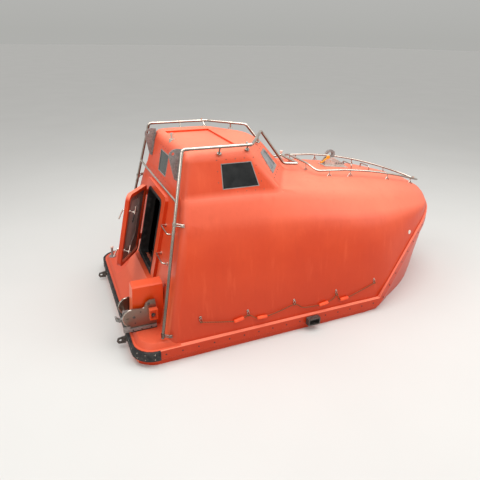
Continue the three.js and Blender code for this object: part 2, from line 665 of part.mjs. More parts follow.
const spindleRun = (z) =>
  rod([leafOuter - 20, handleY, z], [leafInner + 20, handleY, z], spindleRadius + gap);
const leafSkin = 14;
const panelOutline = (inset, radius) =>
  roundRect(leaf.width - 2 * leaf.frame - inset, leafTall - 2 * leaf.frame - inset, radius);
const leafSolid = cut(
  join(
    cut(leafPrism(roundRect(leaf.width, leafTall, leaf.radius), leafOuter, leafInner),
      leafPrism(panelOutline(0, 45), leafOuter + leafSkin, leafInner + 10)),
    ...barrelLugs, ...barrels),
  leafPrism(paneOutline, leafOuter - 20, leafInner + 20),
  pinRun,
  ...handleHeights.map(spindleRun),
);
add('door_leaf', leafSolid, orange(), doorBody);
const liner = cut(
  leafPrism(panelOutline(1, 44), leafOuter + leafSkin + gap, leafOuter + leafSkin + 8),
  leafPrism(swollen(paneOutline, -12), leafOuter - 20, leafInner + 20),
  ...handleHeights.map(spindleRun),
);
add('door_liner', liner, grey(), doorBody);
const doorPane = leafPrism(swollen(paneOutline, -1), leafOuter + 5, leafOuter + leafSkin);
add('door_pane', doorPane, glass(), doorBody);
handleHeights.forEach((z, i) => {
  const handleLine = [[leafOuter - 38, handleY - 6, z - 105], [leafOuter - 48, handleY, z],
    [leafInner + 34, handleY, z], [leafInner + 30, handleY + 4, z + (i ? 75 : -75)]];
  const handle = join(
    bar(rounded(handleLine, 16, 3), spindleRadius, 8),
    rod([leafInner + gap, handleY, z], [leafInner + 8, handleY, z], 16, 12),
    rod([leafOuter - 8, handleY, z], [leafOuter - gap, handleY, z], 16, 12),
  );
  add(i ? 'door_handle_lower' : 'door_handle_upper', handle, steel(), doorBody);
});

// Stern rails: tubes up the aft corners, over the roof edges and down the front, joined by a crossbar
const at = (x, y, z) => [x, y, seam + z];
const railTop = 1940;
const sternFoot = [-2045, -1115, 128];
const sternElbow = [-1680, -716, railTop];
const crossbarHeight = 1449;
const sternRun = (z) => {
  const t = (z - sternFoot[2]) / (sternElbow[2] - sternFoot[2]);
  return sternFoot.map((value, k) => value + (sternElbow[k] - value) * t);
};
const roofRail = [sternFoot, sternElbow, [-940, -720, railTop], [-601, -213, railTop + 24],
  [-257, -173, 1540], [-83, -225, 1536], [-83, -gap / 2, 1536]];
const stanchions = [
  // x, y and z on the rail, x, y and z of the foot
  [-1290, -718, 1940, -1290, -690, 1872],
  [-985, -719, 1940, -975, -668, 1888],
  [-726, -400, 1952, -726, -400, 1892],
];
const roofStanchion = ([x, y, z, footX, footY, footZ]) => join(
  bar([at(x, y, z), at(footX, footY, footZ)], 9, 8),
  bar([at(footX, footY, footZ), at(footX, footY, footZ - 26)], 24, 10),
);
const clampAt = sternRun(1240);
const footClampAt = sternRun(160);
const clampHalf = 18;
const clampBlock = ([x, y, z], reach, outward) =>
  box(x - 6, x + reach, y - outward, y + 12, seam + z - clampHalf, seam + z + clampHalf);
const sternRail = join(
  bar(rounded(roofRail.map(([x, y, z]) => at(x, y, z)), 38, 3)),
  ...stanchions.map(roofStanchion),
  clampBlock(clampAt, 84, 84),
  clampBlock(footClampAt, 84, 62),
);
const crossEnd = sternRun(crossbarHeight);
const sternTube = (side) => bar([sternFoot, sternElbow].map(([x, y, z]) => at(x, side * y, z)), tube + gap);
const crossbarEnds = [1, -1].map((side) => at(crossEnd[0], side * crossEnd[1], crossbarHeight));
const crossbar = cut(bar(crossbarEnds, 13), sternTube(1), sternTube(-1));
addPair('stern_rail', sternRail.intersect(starboardHalf), steel, offSkin);
add('stern_crossbar', largest(crossbar), steel());

// Foredeck rail, one closed loop on short stanchions
const foreRail = [
  // x, half breadth, height above the bolt line
  [40, -20, 1528],
  [40, 240, 1528],
  [78, 410, 1480],
  [482, 415, 1456],
  [871, 408, 1400],
  [1229, 385, 1324],
  [1543, 330, 1239],
  [1800, 240, 1157],
  [1975, 120, 1095],
  [2030, -20, 1070],
];
const foreRailLine = [
  ...rounded(foreRail.slice(0, 4).map(([x, y, z]) => at(x, -y, z)), 40, 3).slice(0, -1),
  ...new THREE.CatmullRomCurve3(foreRail.slice(3).map(([x, y, z]) => new THREE.Vector3(...at(x, -y, z))))
    .getPoints(18).map((point) => point.toArray()),
];
const foreFeet = [
  // x of the foot, half breadth and height at the rail, drop
  [40, 205, 1528, 120],
  [250, 414, 1469, 90],
  [560, 414, 1446, 90],
  [1180, 388, 1336, 110],
  [1690, 282, 1193, 100],
];
const foreRailHalf = join(
  bar(foreRailLine, 13, 8),
  ...foreFeet.map(([x, y, z, drop]) => bar([at(x, -y, z), at(x, -y - 6, z - drop)], 7, 8)),
);
add('foredeck_rail', offSkin(join(foreRailHalf, mirrorY(foreRailHalf))), steel());

// Lifting plates on the aft wall
const finY = 552;
const fin = ([z, out]) => [wallX(seam + z) - out, seam + z];
const finOutline = [
  // height above the bolt line, distance out from the wall
  [1905, gap + 1], [1912, 60], [1900, 108], [1868, 130], [1825, 124], [1600, 34], [1585, 14], [1585, gap + 1],
];
const liftingPlate = join(
  plate(finOutline.map(fin), -finY - 8, -finY + 8, [[...fin([1862, 88]), 16]]),
  prism(onWall(-finY, seam + 1745, gap).toArray(), portward, wallUp, wallOut,
    [[-34, 140], [34, 140], [22, -160], [-22, -160]], 0, 8),
);
addPair('lifting_plate', liftingPlate, grey, offSkin);

// Towing lugs on the face of the fender
const lug = { y: 750, z: seam - 46, half: 7, hole: 15 };
const lugOutline = [[8, -44], [86, -36], [103, -6], [90, 30], [8, 44]];
const lugEye = [fenderFace - 66, lug.z, lug.hole];
const lugPlate = lugOutline.map(([out, z]) => [fenderFace - gap - out, lug.z + z]);
const towingLug = join(
  plate(lugPlate, -lug.y - lug.half, -lug.y + lug.half, [lugEye]),
  box(fenderFace - gap - 9, fenderFace - gap, -lug.y - 40, -lug.y + 40, lug.z - 4, lug.z + 92),
);
addPair('towing_lug', towingLug, grey);

// Mooring bitt on the port quarter
const bittAt = [-2226, 946];
const bitt = join(
  rod([...bittAt, deckZ + gap], [...bittAt, deckZ + 9], 45, 20),
  rod([...bittAt, deckZ + 5], [...bittAt, deckZ + 149], 15, 14),
  rod([...bittAt, deckZ + 137], [...bittAt, deckZ + 155], 24, 16),
);
add('mooring_bitt', bitt, steel());

// Stern hook: two cheeks on a base plate, a hook on the pin between them, and its release box
const hookPin = [-2335, seam + 250];
const hookPinRadius = 14;
const cheekOutline = [
  // x, height above the deck
  [-2040, 6], [-2318, 6], [-2340, 60], [-2378, 100], [-2392, 160], [-2378, 212], [-2340, 248],
  [-2285, 263], [-2165, 254], [-2145, 312], [-2105, 338], [-2050, 338], [-2040, 290],
].map(([x, z]) => [x, deckZ + z]);
const cheekFaces = [[-852, -838], [-602, -588]];
const cheeks = cheekFaces.map(([y0, y1]) => plate(cheekOutline, y0, y1, [[-2115, deckZ + 292, 13]]));
const hookFrame = cut(
  join(...cheeks, box(-2318, -2040, -866, -566, deckZ + gap, deckZ + 12),
    rod([hookPin[0], -860, hookPin[1]], [hookPin[0], -580, hookPin[1]], hookPinRadius)),
  fairingBlock(gap), skin,
);
add('stern_hook_frame', hookFrame, steel());
const hookOutline = [
  // x, height above the pin
  [-2362, 30], [-2300, 30], [-2300, 5], [-2318, -40], [-2360, -78], [-2405, -84], [-2440, -58],
  [-2448, -20], [-2432, -14], [-2420, -38], [-2398, -52], [-2368, -48], [-2352, -22], [-2366, 0],
].map(([x, z]) => [x, hookPin[1] + z]);
add('stern_hook', plate(hookOutline, -746, -708, [[...hookPin, boreFor(hookPinRadius)]]), grey());
const releaseBox = box(-2118, -2034, -912, cheekFaces[0][0] - gap, deckZ + 129, deckZ + 247);
add('stern_release_box', releaseBox, orange());

// Grab rungs on the aft wall and on the foredeck
const rungs = [
  // name, height above the bolt line
  ['grab_rung_upper', 1062],
  ['grab_rung_lower', 740],
];
for (const [name, z] of rungs) {
  const onRung = (y, out) => onWall(y, seam + z, out).toArray();
  const rungLine = [onRung(-440, -9), onRung(-440, 58), onRung(-708, 58), onRung(-708, -9)];
  const rung = bar(rounded(rungLine, 34, 3), 9, 8);
  const pads = [-440, -708].map((y) => bar([onRung(y, -9), onRung(y, 7)], 20, 10));
  add(name, offSkin(join(rung, ...pads)), steel());
}
const deckHeight = (x) => {
  const i = bodyStations.findIndex((row) => row[0] >= x);
  const [a, b] = [bodyStations[i - 1], bodyStations[i]];
  return seam + a[9] + (b[9] - a[9]) * (x - a[0]) / (b[0] - a[0]);
};
const deckRungs = [
  // name, x
  ['foredeck_rung_aft', 815],
  ['foredeck_rung_fore', 1110],
];
for (const [name, x] of deckRungs) {
  const z = deckHeight(x);
  const rungLine = [[x, -95, z - 30], [x, -95, z + 52], [x, 95, z + 52], [x, 95, z - 30]];
  const rung = bar(rounded(rungLine, 26, 3), 8, 8);
  add(name, offSkin(rung), steel());
}

// Bow lifting hook on the foredeck with its lever
const bowUnit = { x0: 400, x1: 770, halfBase: 85, cheek: 42, pinX: 520, pin: 13 };
const onDeck = ([x, lift]) => [x, deckHeight(x) + lift];
const bowBaseOutline = [[bowUnit.x0, -30], [bowUnit.x1, -30], [bowUnit.x1, 9], [bowUnit.x0, 9]];
const bowBase = plate(bowBaseOutline.map(onDeck), -bowUnit.halfBase, bowUnit.halfBase);
const bowCheekOutline = [[430, 4], [430, 60], [470, 108], [545, 118], [735, 40], [735, 4]];
const bowPin = onDeck([bowUnit.pinX, 72]);
const bowFrame = offSkin(join(bowBase,
  ...[-1, 1].map((side) => plate(bowCheekOutline.map(onDeck), side * bowUnit.cheek - 6,
    side * bowUnit.cheek + 6, [[...onDeck([640, 42]), 14]])),
  rod([bowPin[0], -60, bowPin[1]], [bowPin[0], 60, bowPin[1]], bowUnit.pin)));
add('bow_hook_frame', bowFrame, steel());
const bowHookOutline = [
  // x and height from the pin
  [-36, -26], [34, -26], [44, 20], [70, 60], [62, 108], [18, 138], [-34, 130], [-72, 96],
  [-52, 80], [-20, 104], [14, 106], [34, 82], [26, 58], [-20, 34], [-42, 10],
].map(([x, z]) => [bowPin[0] + x, bowPin[1] + z]);
add('bow_hook', plate(bowHookOutline, -18, 18, [[...bowPin, boreFor(bowUnit.pin)]]), grey());

// Roof light post and foredeck vent
const post = (x, y, foot, lip, top, base, stem, cap) => join(
  rod([x, y, foot], [x, y, lip], base, 16),
  rod([x, y, foot], [x, y, top - 6], stem, 12),
  rod([x, y, top - 20], [x, y, top], cap, 14),
);
add('roof_light', offSkin(post(-1590, -12, roofZ - 60, roofZ + 2, roofZ + 68, 33, 15, 19)), steel());
add('foredeck_vent', offSkin(post(75, 505, seam + 1360, seam + 1430, seam + 1515, 34, 12, 24)), steel());

// Lifelines with their eyes and floats, one along each side
const lifeEyes = [-1650, -1122, -559, -5, 535];
const lifeFloats = [
  // start and end of each float
  [-1292, -1178],
  [-1026, -906],
  [-245, -123],
  [42, 154],
];
const skinY = (z) => 1165 - (z - flangeHalf) * 0.163;
const ropeHeight = [
  // x, height above the bolt line
  [-1650, 248], [-1400, 194], [-1235, 170], [-1122, 205], [-1026, 152], [-906, 148], [-740, 172],
  [-559, 208], [-455, 150], [-300, 134], [-185, 134], [-60, 165], [-5, 212], [42, 140], [154, 146],
  [330, 190], [535, 248],
];
const offSide = (x, z, out) => [x, -(skinY(z) + out), seam + z];
const ropeCurve = new THREE.CatmullRomCurve3(
  ropeHeight.map(([x, z]) => new THREE.Vector3(...offSide(x, z, 20))), false, 'centripetal');
const ropePath = ropeCurve.getPoints(48).map((point) => point.toArray());
const nearer = (x) => (best, point) => (Math.abs(point[0] - x) < Math.abs(best[0] - x) ? point : best);
const ropeRise = (x) => ropePath.reduce(nearer(x))[2] - seam;
const float = (ends) => bar(ends.map((x) => offSide(x, ropeRise(x), 22)), 19, 10);
const eye = (x) => {
  const z = ropeRise(x);
  return join(
    bar([offSide(x, z - 4, 20), offSide(x, z + 42, 13)], 6, 6),
    bar([offSide(x, z + 40, 18), offSide(x, z + 44, -30)], 9, 6));
};
const lifeline = join(bar(ropePath, 4.5, 5), ...lifeFloats.map(float), ...lifeEyes.map(eye));
addPair('lifeline', lifeline, rubber, offSkin);

// Steel bracket on the flange band
const bracketY = -bandFace - gap;
const bracket = cut(box(-425, -275, bracketY - 64, bracketY, seam - 48, seam + 36),
  box(-412, -288, bracketY - 80, bracketY - 10, seam - 36, seam + 24));
addPair('side_bracket', bracket, grey);

// Steering nozzle, propeller and shaft
const ringProfile = [[186, -100], [204, -100], [212, -60], [206, 60], [194, 100], [186, 100], [186, -100]];
const ringGeometry = new THREE.LatheGeometry(ringProfile.map(([r, x]) => new THREE.Vector2(r, x)), 32);
ringGeometry.rotateZ(-Math.PI / 2);
ringGeometry.translate(propX, 0, propZ);
const nozzle = join(solid(ringGeometry),
  rod([propX, 0, propZ + 196], [propX, 0, 50], stockRadius),
  rod([propX, 0, propZ - 196], [propX, 0, keelFoot + 30], pintleRadius),
  rod([propX, 0, propZ + 196], [propX, 0, propZ + 216], 34),
  rod([propX, 0, propZ - 212], [propX, 0, propZ - 196], 30));
add('steering_nozzle', nozzle, orange());
const bladeCount = 4;
const bladeRows = [
  // radius, half chord, pitch angle in degrees, half thickness
  [26, 34, 55, 7],
  [80, 52, 38, 5],
  [130, 50, 27, 3.5],
  [166, 22, 22, 2],
];
const blade = loft(bladeRows.map(([r, chord, pitch, thick]) => {
  const angle = THREE.MathUtils.degToRad(pitch);
  const along = new THREE.Vector3(Math.sin(angle), Math.cos(angle), 0);
  const across = new THREE.Vector3(Math.cos(angle), -Math.sin(angle), 0);
  return [[1, 0], [0.4, 1], [-0.4, 1], [-1, 0], [-0.4, -1], [0.4, -1]].map(([a, b]) =>
    new THREE.Vector3(0, 0, r).addScaledVector(along, a * chord).addScaledVector(across, b * thick));
}));
const blades = Array.from({ length: bladeCount }, (_, k) => blade.rotate([(k * 360) / bladeCount, 0, 0]));
const hubSeat = -29;
const propeller = join(rod([-48, 0, 0], [46, 0, 0], 36, 20), rod([-86, 0, 0], [-48, 0, 0], 20, 14), ...blades)
  .subtract(rod([hubSeat - gap, 0, 0], [60, 0, 0], shaftRadius + gap)).translate([propX, 0, propZ]);
add('propeller', propeller, paint(0xb08d4a, 0.3, 0.9));
const shaft = rod([propX + hubSeat, 0, propZ], [engineAft - gap, 0, propZ], shaftRadius);
add('propeller_shaft', shaft, steel());
add('engine', box(...engineBox), grey());

// Seats and helm in the cabin
const seatOutline = [
  [-50, 930], [0, 300], [0, 40], [-40, 40], [-40, 0], [300, 0], [300, 300], [130, 320], [40, 950],
];
const seatAt = (x) => plate(seatOutline.map(([a, z]) => [x + a, soleZ + gap + z]), -760, -230);
const seatXs = [-650, 150];
const seatPlinth = box(seatXs[0], seatXs[1] + 200, -700, -290, soleZ + gap, soleZ + 60);
const seatBank = join(...seatXs.map(seatAt), seatPlinth);
addPair('seat_bank', seatBank, grey);
const helmSeat = join(
  rod([-1150, -420, soleZ + gap], [-1150, -420, soleZ + 850], 60, 12),
  box(-1340, -960, -640, -200, soleZ + 840, soleZ + 930),
  box(-1400, -1330, -640, -200, soleZ + 860, soleZ + 1450),
);
add('helm_seat', helmSeat, grey());
const consoleX = -890;
const consoleOutline = [[0, 0], [80, 0], [150, 1300], [10, 1420], [-60, 1250]]
  .map(([a, z]) => [consoleX + a, soleZ + gap + z]);
add('helm_console', plate(consoleOutline, -640, -200), grey());

export default lifeboat;
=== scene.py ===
# Looks of the small enclosed lifeboat: studio, materials, fine skins and fittings.
# Metres, +X to the bow, +Y to port, +Z up, the floor lies at the waterline.
import json
from math import atan2, cos, pi, radians, sin, sqrt

import bmesh
import bpy
from mathutils import Matrix, Vector
from mathutils.bvhtree import BVHTree

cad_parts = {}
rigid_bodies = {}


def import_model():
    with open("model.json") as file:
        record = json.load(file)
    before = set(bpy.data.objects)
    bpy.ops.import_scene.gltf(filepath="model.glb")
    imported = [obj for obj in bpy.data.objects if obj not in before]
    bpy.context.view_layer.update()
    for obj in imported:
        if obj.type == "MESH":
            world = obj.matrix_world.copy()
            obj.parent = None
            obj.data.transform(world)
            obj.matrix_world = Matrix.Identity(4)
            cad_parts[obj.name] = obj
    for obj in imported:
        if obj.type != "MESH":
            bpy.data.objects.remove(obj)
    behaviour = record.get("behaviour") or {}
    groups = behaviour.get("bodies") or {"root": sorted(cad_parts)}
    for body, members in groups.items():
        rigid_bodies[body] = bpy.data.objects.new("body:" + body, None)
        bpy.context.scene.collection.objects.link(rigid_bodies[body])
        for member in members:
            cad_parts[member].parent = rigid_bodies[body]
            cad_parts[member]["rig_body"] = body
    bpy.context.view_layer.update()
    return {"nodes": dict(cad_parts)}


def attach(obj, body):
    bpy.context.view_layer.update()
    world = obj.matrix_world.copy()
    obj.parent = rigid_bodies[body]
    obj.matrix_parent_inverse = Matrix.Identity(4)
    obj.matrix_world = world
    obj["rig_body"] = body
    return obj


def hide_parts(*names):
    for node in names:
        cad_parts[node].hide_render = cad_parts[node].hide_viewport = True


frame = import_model()
scene = bpy.context.scene
mm = 0.001
seam = 120 * mm  # bolt line of the hull flange above the water
print("frame loaded:", len(frame["nodes"]), "nodes")


# sRGB hex to the linear colour that the shaders use
def tone(code):
    parts = [int(code[i:i + 2], 16) / 255 for i in (0, 2, 4)]
    return tuple(c / 12.92 if c <= 0.04045 else ((c + 0.055) / 1.055) ** 2.4 for c in parts) + (1.0,)


# Sets a node's inputs and properties, or links them where a socket is given
def fill(tree, node, inputs):
    for key, value in inputs.items():
        if value is None:
            continue
        if isinstance(value, bpy.types.NodeSocket):
            tree.links.new(value, node.inputs[key])
        elif key == "stops":
            for element, (place, code) in zip(node.color_ramp.elements, value):
                element.position = place
                element.color = tone(code)
        elif key == "range":
            for name, number in zip(("From Min", "From Max", "To Min", "To Max"), value):
                node.inputs[name].default_value = number
        elif isinstance(key, int) or key in node.inputs:
            node.inputs[key].default_value = value
        else:
            setattr(node, key, value)


# Adds a shader node and gives the output that is wanted of it
def put(tree, kind, inputs, output=0):
    made = tree.nodes.new("ShaderNode" + kind)
    fill(tree, made, inputs)
    return made.outputs[output]


# Camera at the photograph's place
view = {
    "place": (-2.8735, -4.8533, 3.1076),
    # right, up and back
    "axes": ((0.91854, -0.39466, 0.02292), (0.12639, 0.34809, 0.9289), (-0.37458, -0.85034, 0.36962)),
    "lens": 33.99, "sensor": 36, "shift": (-0.0009, -0.0541), "clip": (0.05, 400),
}


def makeCamera():
    lens = bpy.data.cameras.new("camera")
    lens.lens, lens.sensor_width = view["lens"], view["sensor"]
    lens.shift_x, lens.shift_y = view["shift"]
    lens.clip_start, lens.clip_end = view["clip"]
    camera = bpy.data.objects.new("camera", lens)
    camera.matrix_world = Matrix.Translation(view["place"]) @ Matrix(view["axes"]).transposed().to_4x4()
    scene.collection.objects.link(camera)
    scene.camera = camera


makeCamera()
print("camera placed")


# Turns a shape into an object of the scene
def meshInto(name, shape, finishes):
    mesh = bpy.data.meshes.new(name)
    shape.to_mesh(mesh)
    shape.free()
    for finish in finishes:
        mesh.materials.append(finish)
    piece = bpy.data.objects.new(name, mesh)
    scene.collection.objects.link(piece)
    return piece


# Makes a material. Patterns are textures by name, their size in mm; the base colour follows one of them.
# Each layer's tint covers what is under it by the product of its sources: patterns, the place's height, or
# how far the face looks up (rise) or forward (ahead), each with its range.
def makeMaterial(name, patterns, base, gloss, bumps=(), layers=(), others=None):
    material = bpy.data.materials.new(name)
    material.use_nodes = True
    tree = material.node_tree
    place = put(tree, "TexCoord", {}, "Object")
    normal = place.node.outputs["Normal"]
    axes = {"height": (place, "Z"), "rise": (normal, "Z"), "ahead": (normal, "X")}
    source = {}
    for key, (kind, size, inputs, *stretch) in patterns.items():
        space = put(tree, "Mapping", {"Scale": stretch[0], "Vector": place}) if stretch else place
        inputs = {"Scale": 1000 / size, **inputs, "Vector": space}
        if kind == "TexVoronoi":  # each cell has its own random shade
            source[key] = put(tree, "SeparateColor", {"Color": put(tree, kind, inputs, "Color")})
        else:
            source[key] = put(tree, kind, inputs, "Fac")
    key, *stops = base
    colour = put(tree, "ValToRGB", {"stops": stops, "Fac": source[key]})
    for layer, tint, *parts in layers:
        share = 1.0
        for part, limits in parts:
            if part in axes:
                source[part] = put(tree, "SeparateXYZ", {"Vector": axes[part][0]}, axes[part][1])
            ranged = put(tree, "MapRange", {"range": limits, "Value": source[part]})
            share = put(tree, "Math", {"operation": "MULTIPLY", 0: share, 1: ranged})
        source[layer] = share
        colour = put(tree, "Mix", {"data_type": "RGBA", 7: tone(tint), 0: share, 6: colour}, 2)
    key, limits = gloss
    rough = put(tree, "MapRange", {"range": limits, "Value": source[key]})
    bump = None
    for key, power, deep in bumps:
        inputs = {"Strength": power, "Distance": deep, "Height": source[key], "Normal": bump}
        bump = put(tree, "Bump", inputs)
    shader = tree.nodes["Principled BSDF"]
    fill(tree, shader, {"Base Color": colour, "Roughness": rough, "Normal": bump, **(others or {})})
    return material


studio = {
    "floorReach": 150.0, "sky": [(0.0, "D3D3CF"), (0.55, "FFFFFF")], "ambient": 0.66, "aim": (0, 0, 0.6),
    # place, size and watts
    "softboxes": [
        ((1.0, -2.0, 7.5), 7.0, 330), ((6.5, -5.5, 4.5), 5.0, 150),
        ((-6.5, -4.5, 4.0), 4.0, 70), ((-3.7, 0.6, 6.0), 3.5, 120),
    ],
    # waterline cut out of the floor, inside the hull's wall
    "waterline": [(-2.22, 0.98), (-1.9, 1.06), (0.6, 1.03), (0.9, 0.87), (1.22, 0.71), (1.5, 0.53),
                  (1.8, 0.29), (1.96, 0.13)],
}


def makeFloor():
    # matt studio paint, faintly clouded
    material = makeMaterial("floorPaintedMatt", {"cloud": ("TexNoise", 1000 / 0.6, {"Detail": 3.0})},
                            ("cloud", (0.3, "D7D6D2"), (0.7, "DAD9D5")), ("cloud", (0.0, 1.0, 0.85, 0.85)))
    half = studio["waterline"]
    hole = [Vector((x, -y, 0)) for x, y in half] + [Vector((x, y, 0)) for x, y in reversed(half)]
    shape = bmesh.new()
    inner = [shape.verts.new(point) for point in hole]
    outer = [shape.verts.new(point.normalized() * studio["floorReach"]) for point in hole]
    for i in range(len(hole)):
        shape.faces.new((inner[i - 1], outer[i - 1], outer[i], inner[i]))
    bmesh.ops.recalc_face_normals(shape, faces=shape.faces)
    meshInto("floor", shape, [material])


def makeLight():
    world = bpy.data.worlds.new("overcast")
    world.use_nodes = True
    scene.world = world
    tree = world.node_tree
    height = put(tree, "SeparateXYZ", {"Vector": put(tree, "TexCoord", {}, "Generated")}, "Z")
    sky = put(tree, "ValToRGB", {"stops": studio["sky"], "Fac": height})
    fill(tree, tree.nodes["Background"], {"Color": sky, "Strength": studio["ambient"]})
    for i, (place, size, watts) in enumerate(studio["softboxes"]):
        lamp = bpy.data.lights.new(f"softbox{i}", "AREA")
        lamp.shape, lamp.size, lamp.energy = "DISK", size, watts
        box = bpy.data.objects.new(f"softbox{i}", lamp)
        box.location = place
        box.rotation_mode = "QUATERNION"
        box.rotation_quaternion = (Vector(studio["aim"]) - Vector(place)).to_track_quat("-Z", "Y")
        scene.collection.objects.link(box)
    scene.view_settings.view_transform = "Standard"


makeFloor()
makeLight()
print("studio lit")


# Moulded polyester gelcoat on glass fibre: glossy orange, with painted sky light making it salmon on top and
# painted shade making it deeper low on the sides
def makeGelcoat(name, paintedSkyLightShare, fresh, deep):
    return makeMaterial(name, {
        "patch": ("TexNoise", 520, {"Detail": 5.0, "Roughness": 0.55}),
        # rain runs: long thin noise down the sides, dark and pale ones, very faint
        "runs": ("TexNoise", 1000, {"Detail": 3.0}, (1000 / 55, 1000 / 55, 0.8)),
        # orange peel of the mould, drawn 6 mm coarse to show, over the slow waves of a thin laminate
        "peel": ("TexNoise", 6, {"Detail": 2.0}), "wave": ("TexNoise", 300, {"Detail": 1.0}),
    }, ("patch", (0.35, deep), (0.65, fresh)), ("fade", (0.0, 1.0, 0.34, 0.55)),
        [("wave", 0.4, 0.006), ("peel", 0.1, 0.0004)], [
        # painted shade low on the sides leaves the colour deeper there, painted bounce light from the
        # platform brightens the foot of the aft wall
        ("low", "BE3410", ("height", (1.15, 0.2, 0.0, 0.8))),
        ("spray", "FF7C50", ("ahead", (-0.8, -0.95, 0.0, 1.0)), ("height", (1.0, 0.35, 0.0, 0.8))),
        # painted sky light: the more a face looks up, the paler it is
        ("fade", "FF8C6E", ("rise", (0.12, 0.92, 0.0, paintedSkyLightShare)), ("patch", (0.3, 0.7, 0.8, 1.0))),
        ("darkRun", "A83412", ("runs", (0.56, 0.85, 0.0, 0.14))),
        ("paleRun", "FF7C50", ("runs", (0.42, 0.2, 0.0, 0.14))),
    ], {"IOR": 1.5, "Specular IOR Level": 0.32})


# Stainless steel tube and plate, ground and polished, with patches of brown tea stain: bright on top, with a
# painted dark reflection making it brown under the tubes
def makeStainless(name, gloss, stainLimit, paintedReflectionUnderShare, footShare=0.0):
    patterns = {"grind": ("TexNoise", 3, {"Detail": 3.0}), "cloud": ("TexNoise", 240, {"Detail": 4.0})}
    return makeMaterial(name, patterns, ("cloud", (0.3, "CFC3B6"), (0.6, "EFE3D6")),
                        ("cloud", (0.0, 1.0, *gloss)), [("grind", 0.02, 0.0001)], [
        ("stain", "A08672", ("cloud", (stainLimit, stainLimit + 0.15, 0.0, 0.5))),
        # painted dark reflection: the more a face looks down, the browner it is
        ("under", "4E372D", ("rise", (0.3, -0.2, 0.0, paintedReflectionUnderShare))),
        ("film", "4E372D", ("height", (1.75, 0.6, 0.0, footShare))),  # painted dark reflection low on a tube
    ], {"Metallic": 1.0})


# Hot-dip galvanised steel, weathered: matt grey zinc with spangles and a little rust
def makeGalvanised(name, light, dark, rustShare):
    patterns = {"spangle": ("TexVoronoi", 14, {}), "cloud": ("TexNoise", 90, {"Detail": 6.0})}
    rust = ("rust", "7C5A46", ("cloud", (0.6, 0.75, 0.0, rustShare)))
    gloss = ("cloud", (0.0, 1.0, 0.42, 0.62))
    return makeMaterial(name, patterns, ("spangle", (0.0, dark), (1.0, light)), gloss,
                        [("cloud", 0.1, 0.0003)], [rust], {"Metallic": 0.6})


# Extruded EPDM rubber: black, dull, scuffed grey
def makeRubber(name):
    return makeMaterial(name, {"scuff": ("TexNoise", 90, {"Detail": 7.0, "Roughness": 0.7}),
                               "grain": ("TexNoise", 4, {"Detail": 3.0})},
                        ("scuff", (0.45, "1A1919"), (0.78, "55514D")), ("scuff", (0.0, 1.0, 0.6, 0.9)),
                        [("grain", 0.3, 0.0005)])


# Laid polypropylene rope: tan strands turned round each other, dulled by weather
def makeRope(name):
    return makeMaterial(name, {"lay": ("TexWave", 33, {"wave_type": "BANDS", "bands_direction": "DIAGONAL",
                                                       "Distortion": 1.0, "Detail": 1.0})},
                        ("lay", (0.2, "54351F"), (0.7, "8A5B36")), ("lay", (0.0, 1.0, 0.85, 0.85)),
                        [("lay", 0.8, 0.0012)])


# Cast acrylic sheet, smoke-tinted: clear gloss over dark, with wiped dust
def makeGlazing(name, tint, dust, clear):
    return makeMaterial(name, {"film": ("TexNoise", 1000 / 7, {"Detail": 6.0, "Roughness": 0.65})},
                        ("film", (0.4, tint), (0.75, dust)), ("film", (0.3, 0.8, 0.05, 0.25)),
                        [("film", 0.08, 0.001)], (), {"IOR": 1.49, "Transmission Weight": clear})


# Plastic or painted parts: one colour, a clouded gloss and a fine moulded grain
def makePlastic(name, low, high, lowRough, highRough, grain, metallic=0.0):
    return makeMaterial(name, {"cloud": ("TexNoise", 1000 / 18, {"Detail": 5.0}),
                               "grain": ("TexNoise", grain, {"Detail": 2.0})},
                        ("cloud", (0.35, low), (0.65, high)), ("cloud", (0.0, 1.0, lowRough, highRough)),
                        [("grain", 0.2, 0.0004)], (), {"Metallic": metallic})


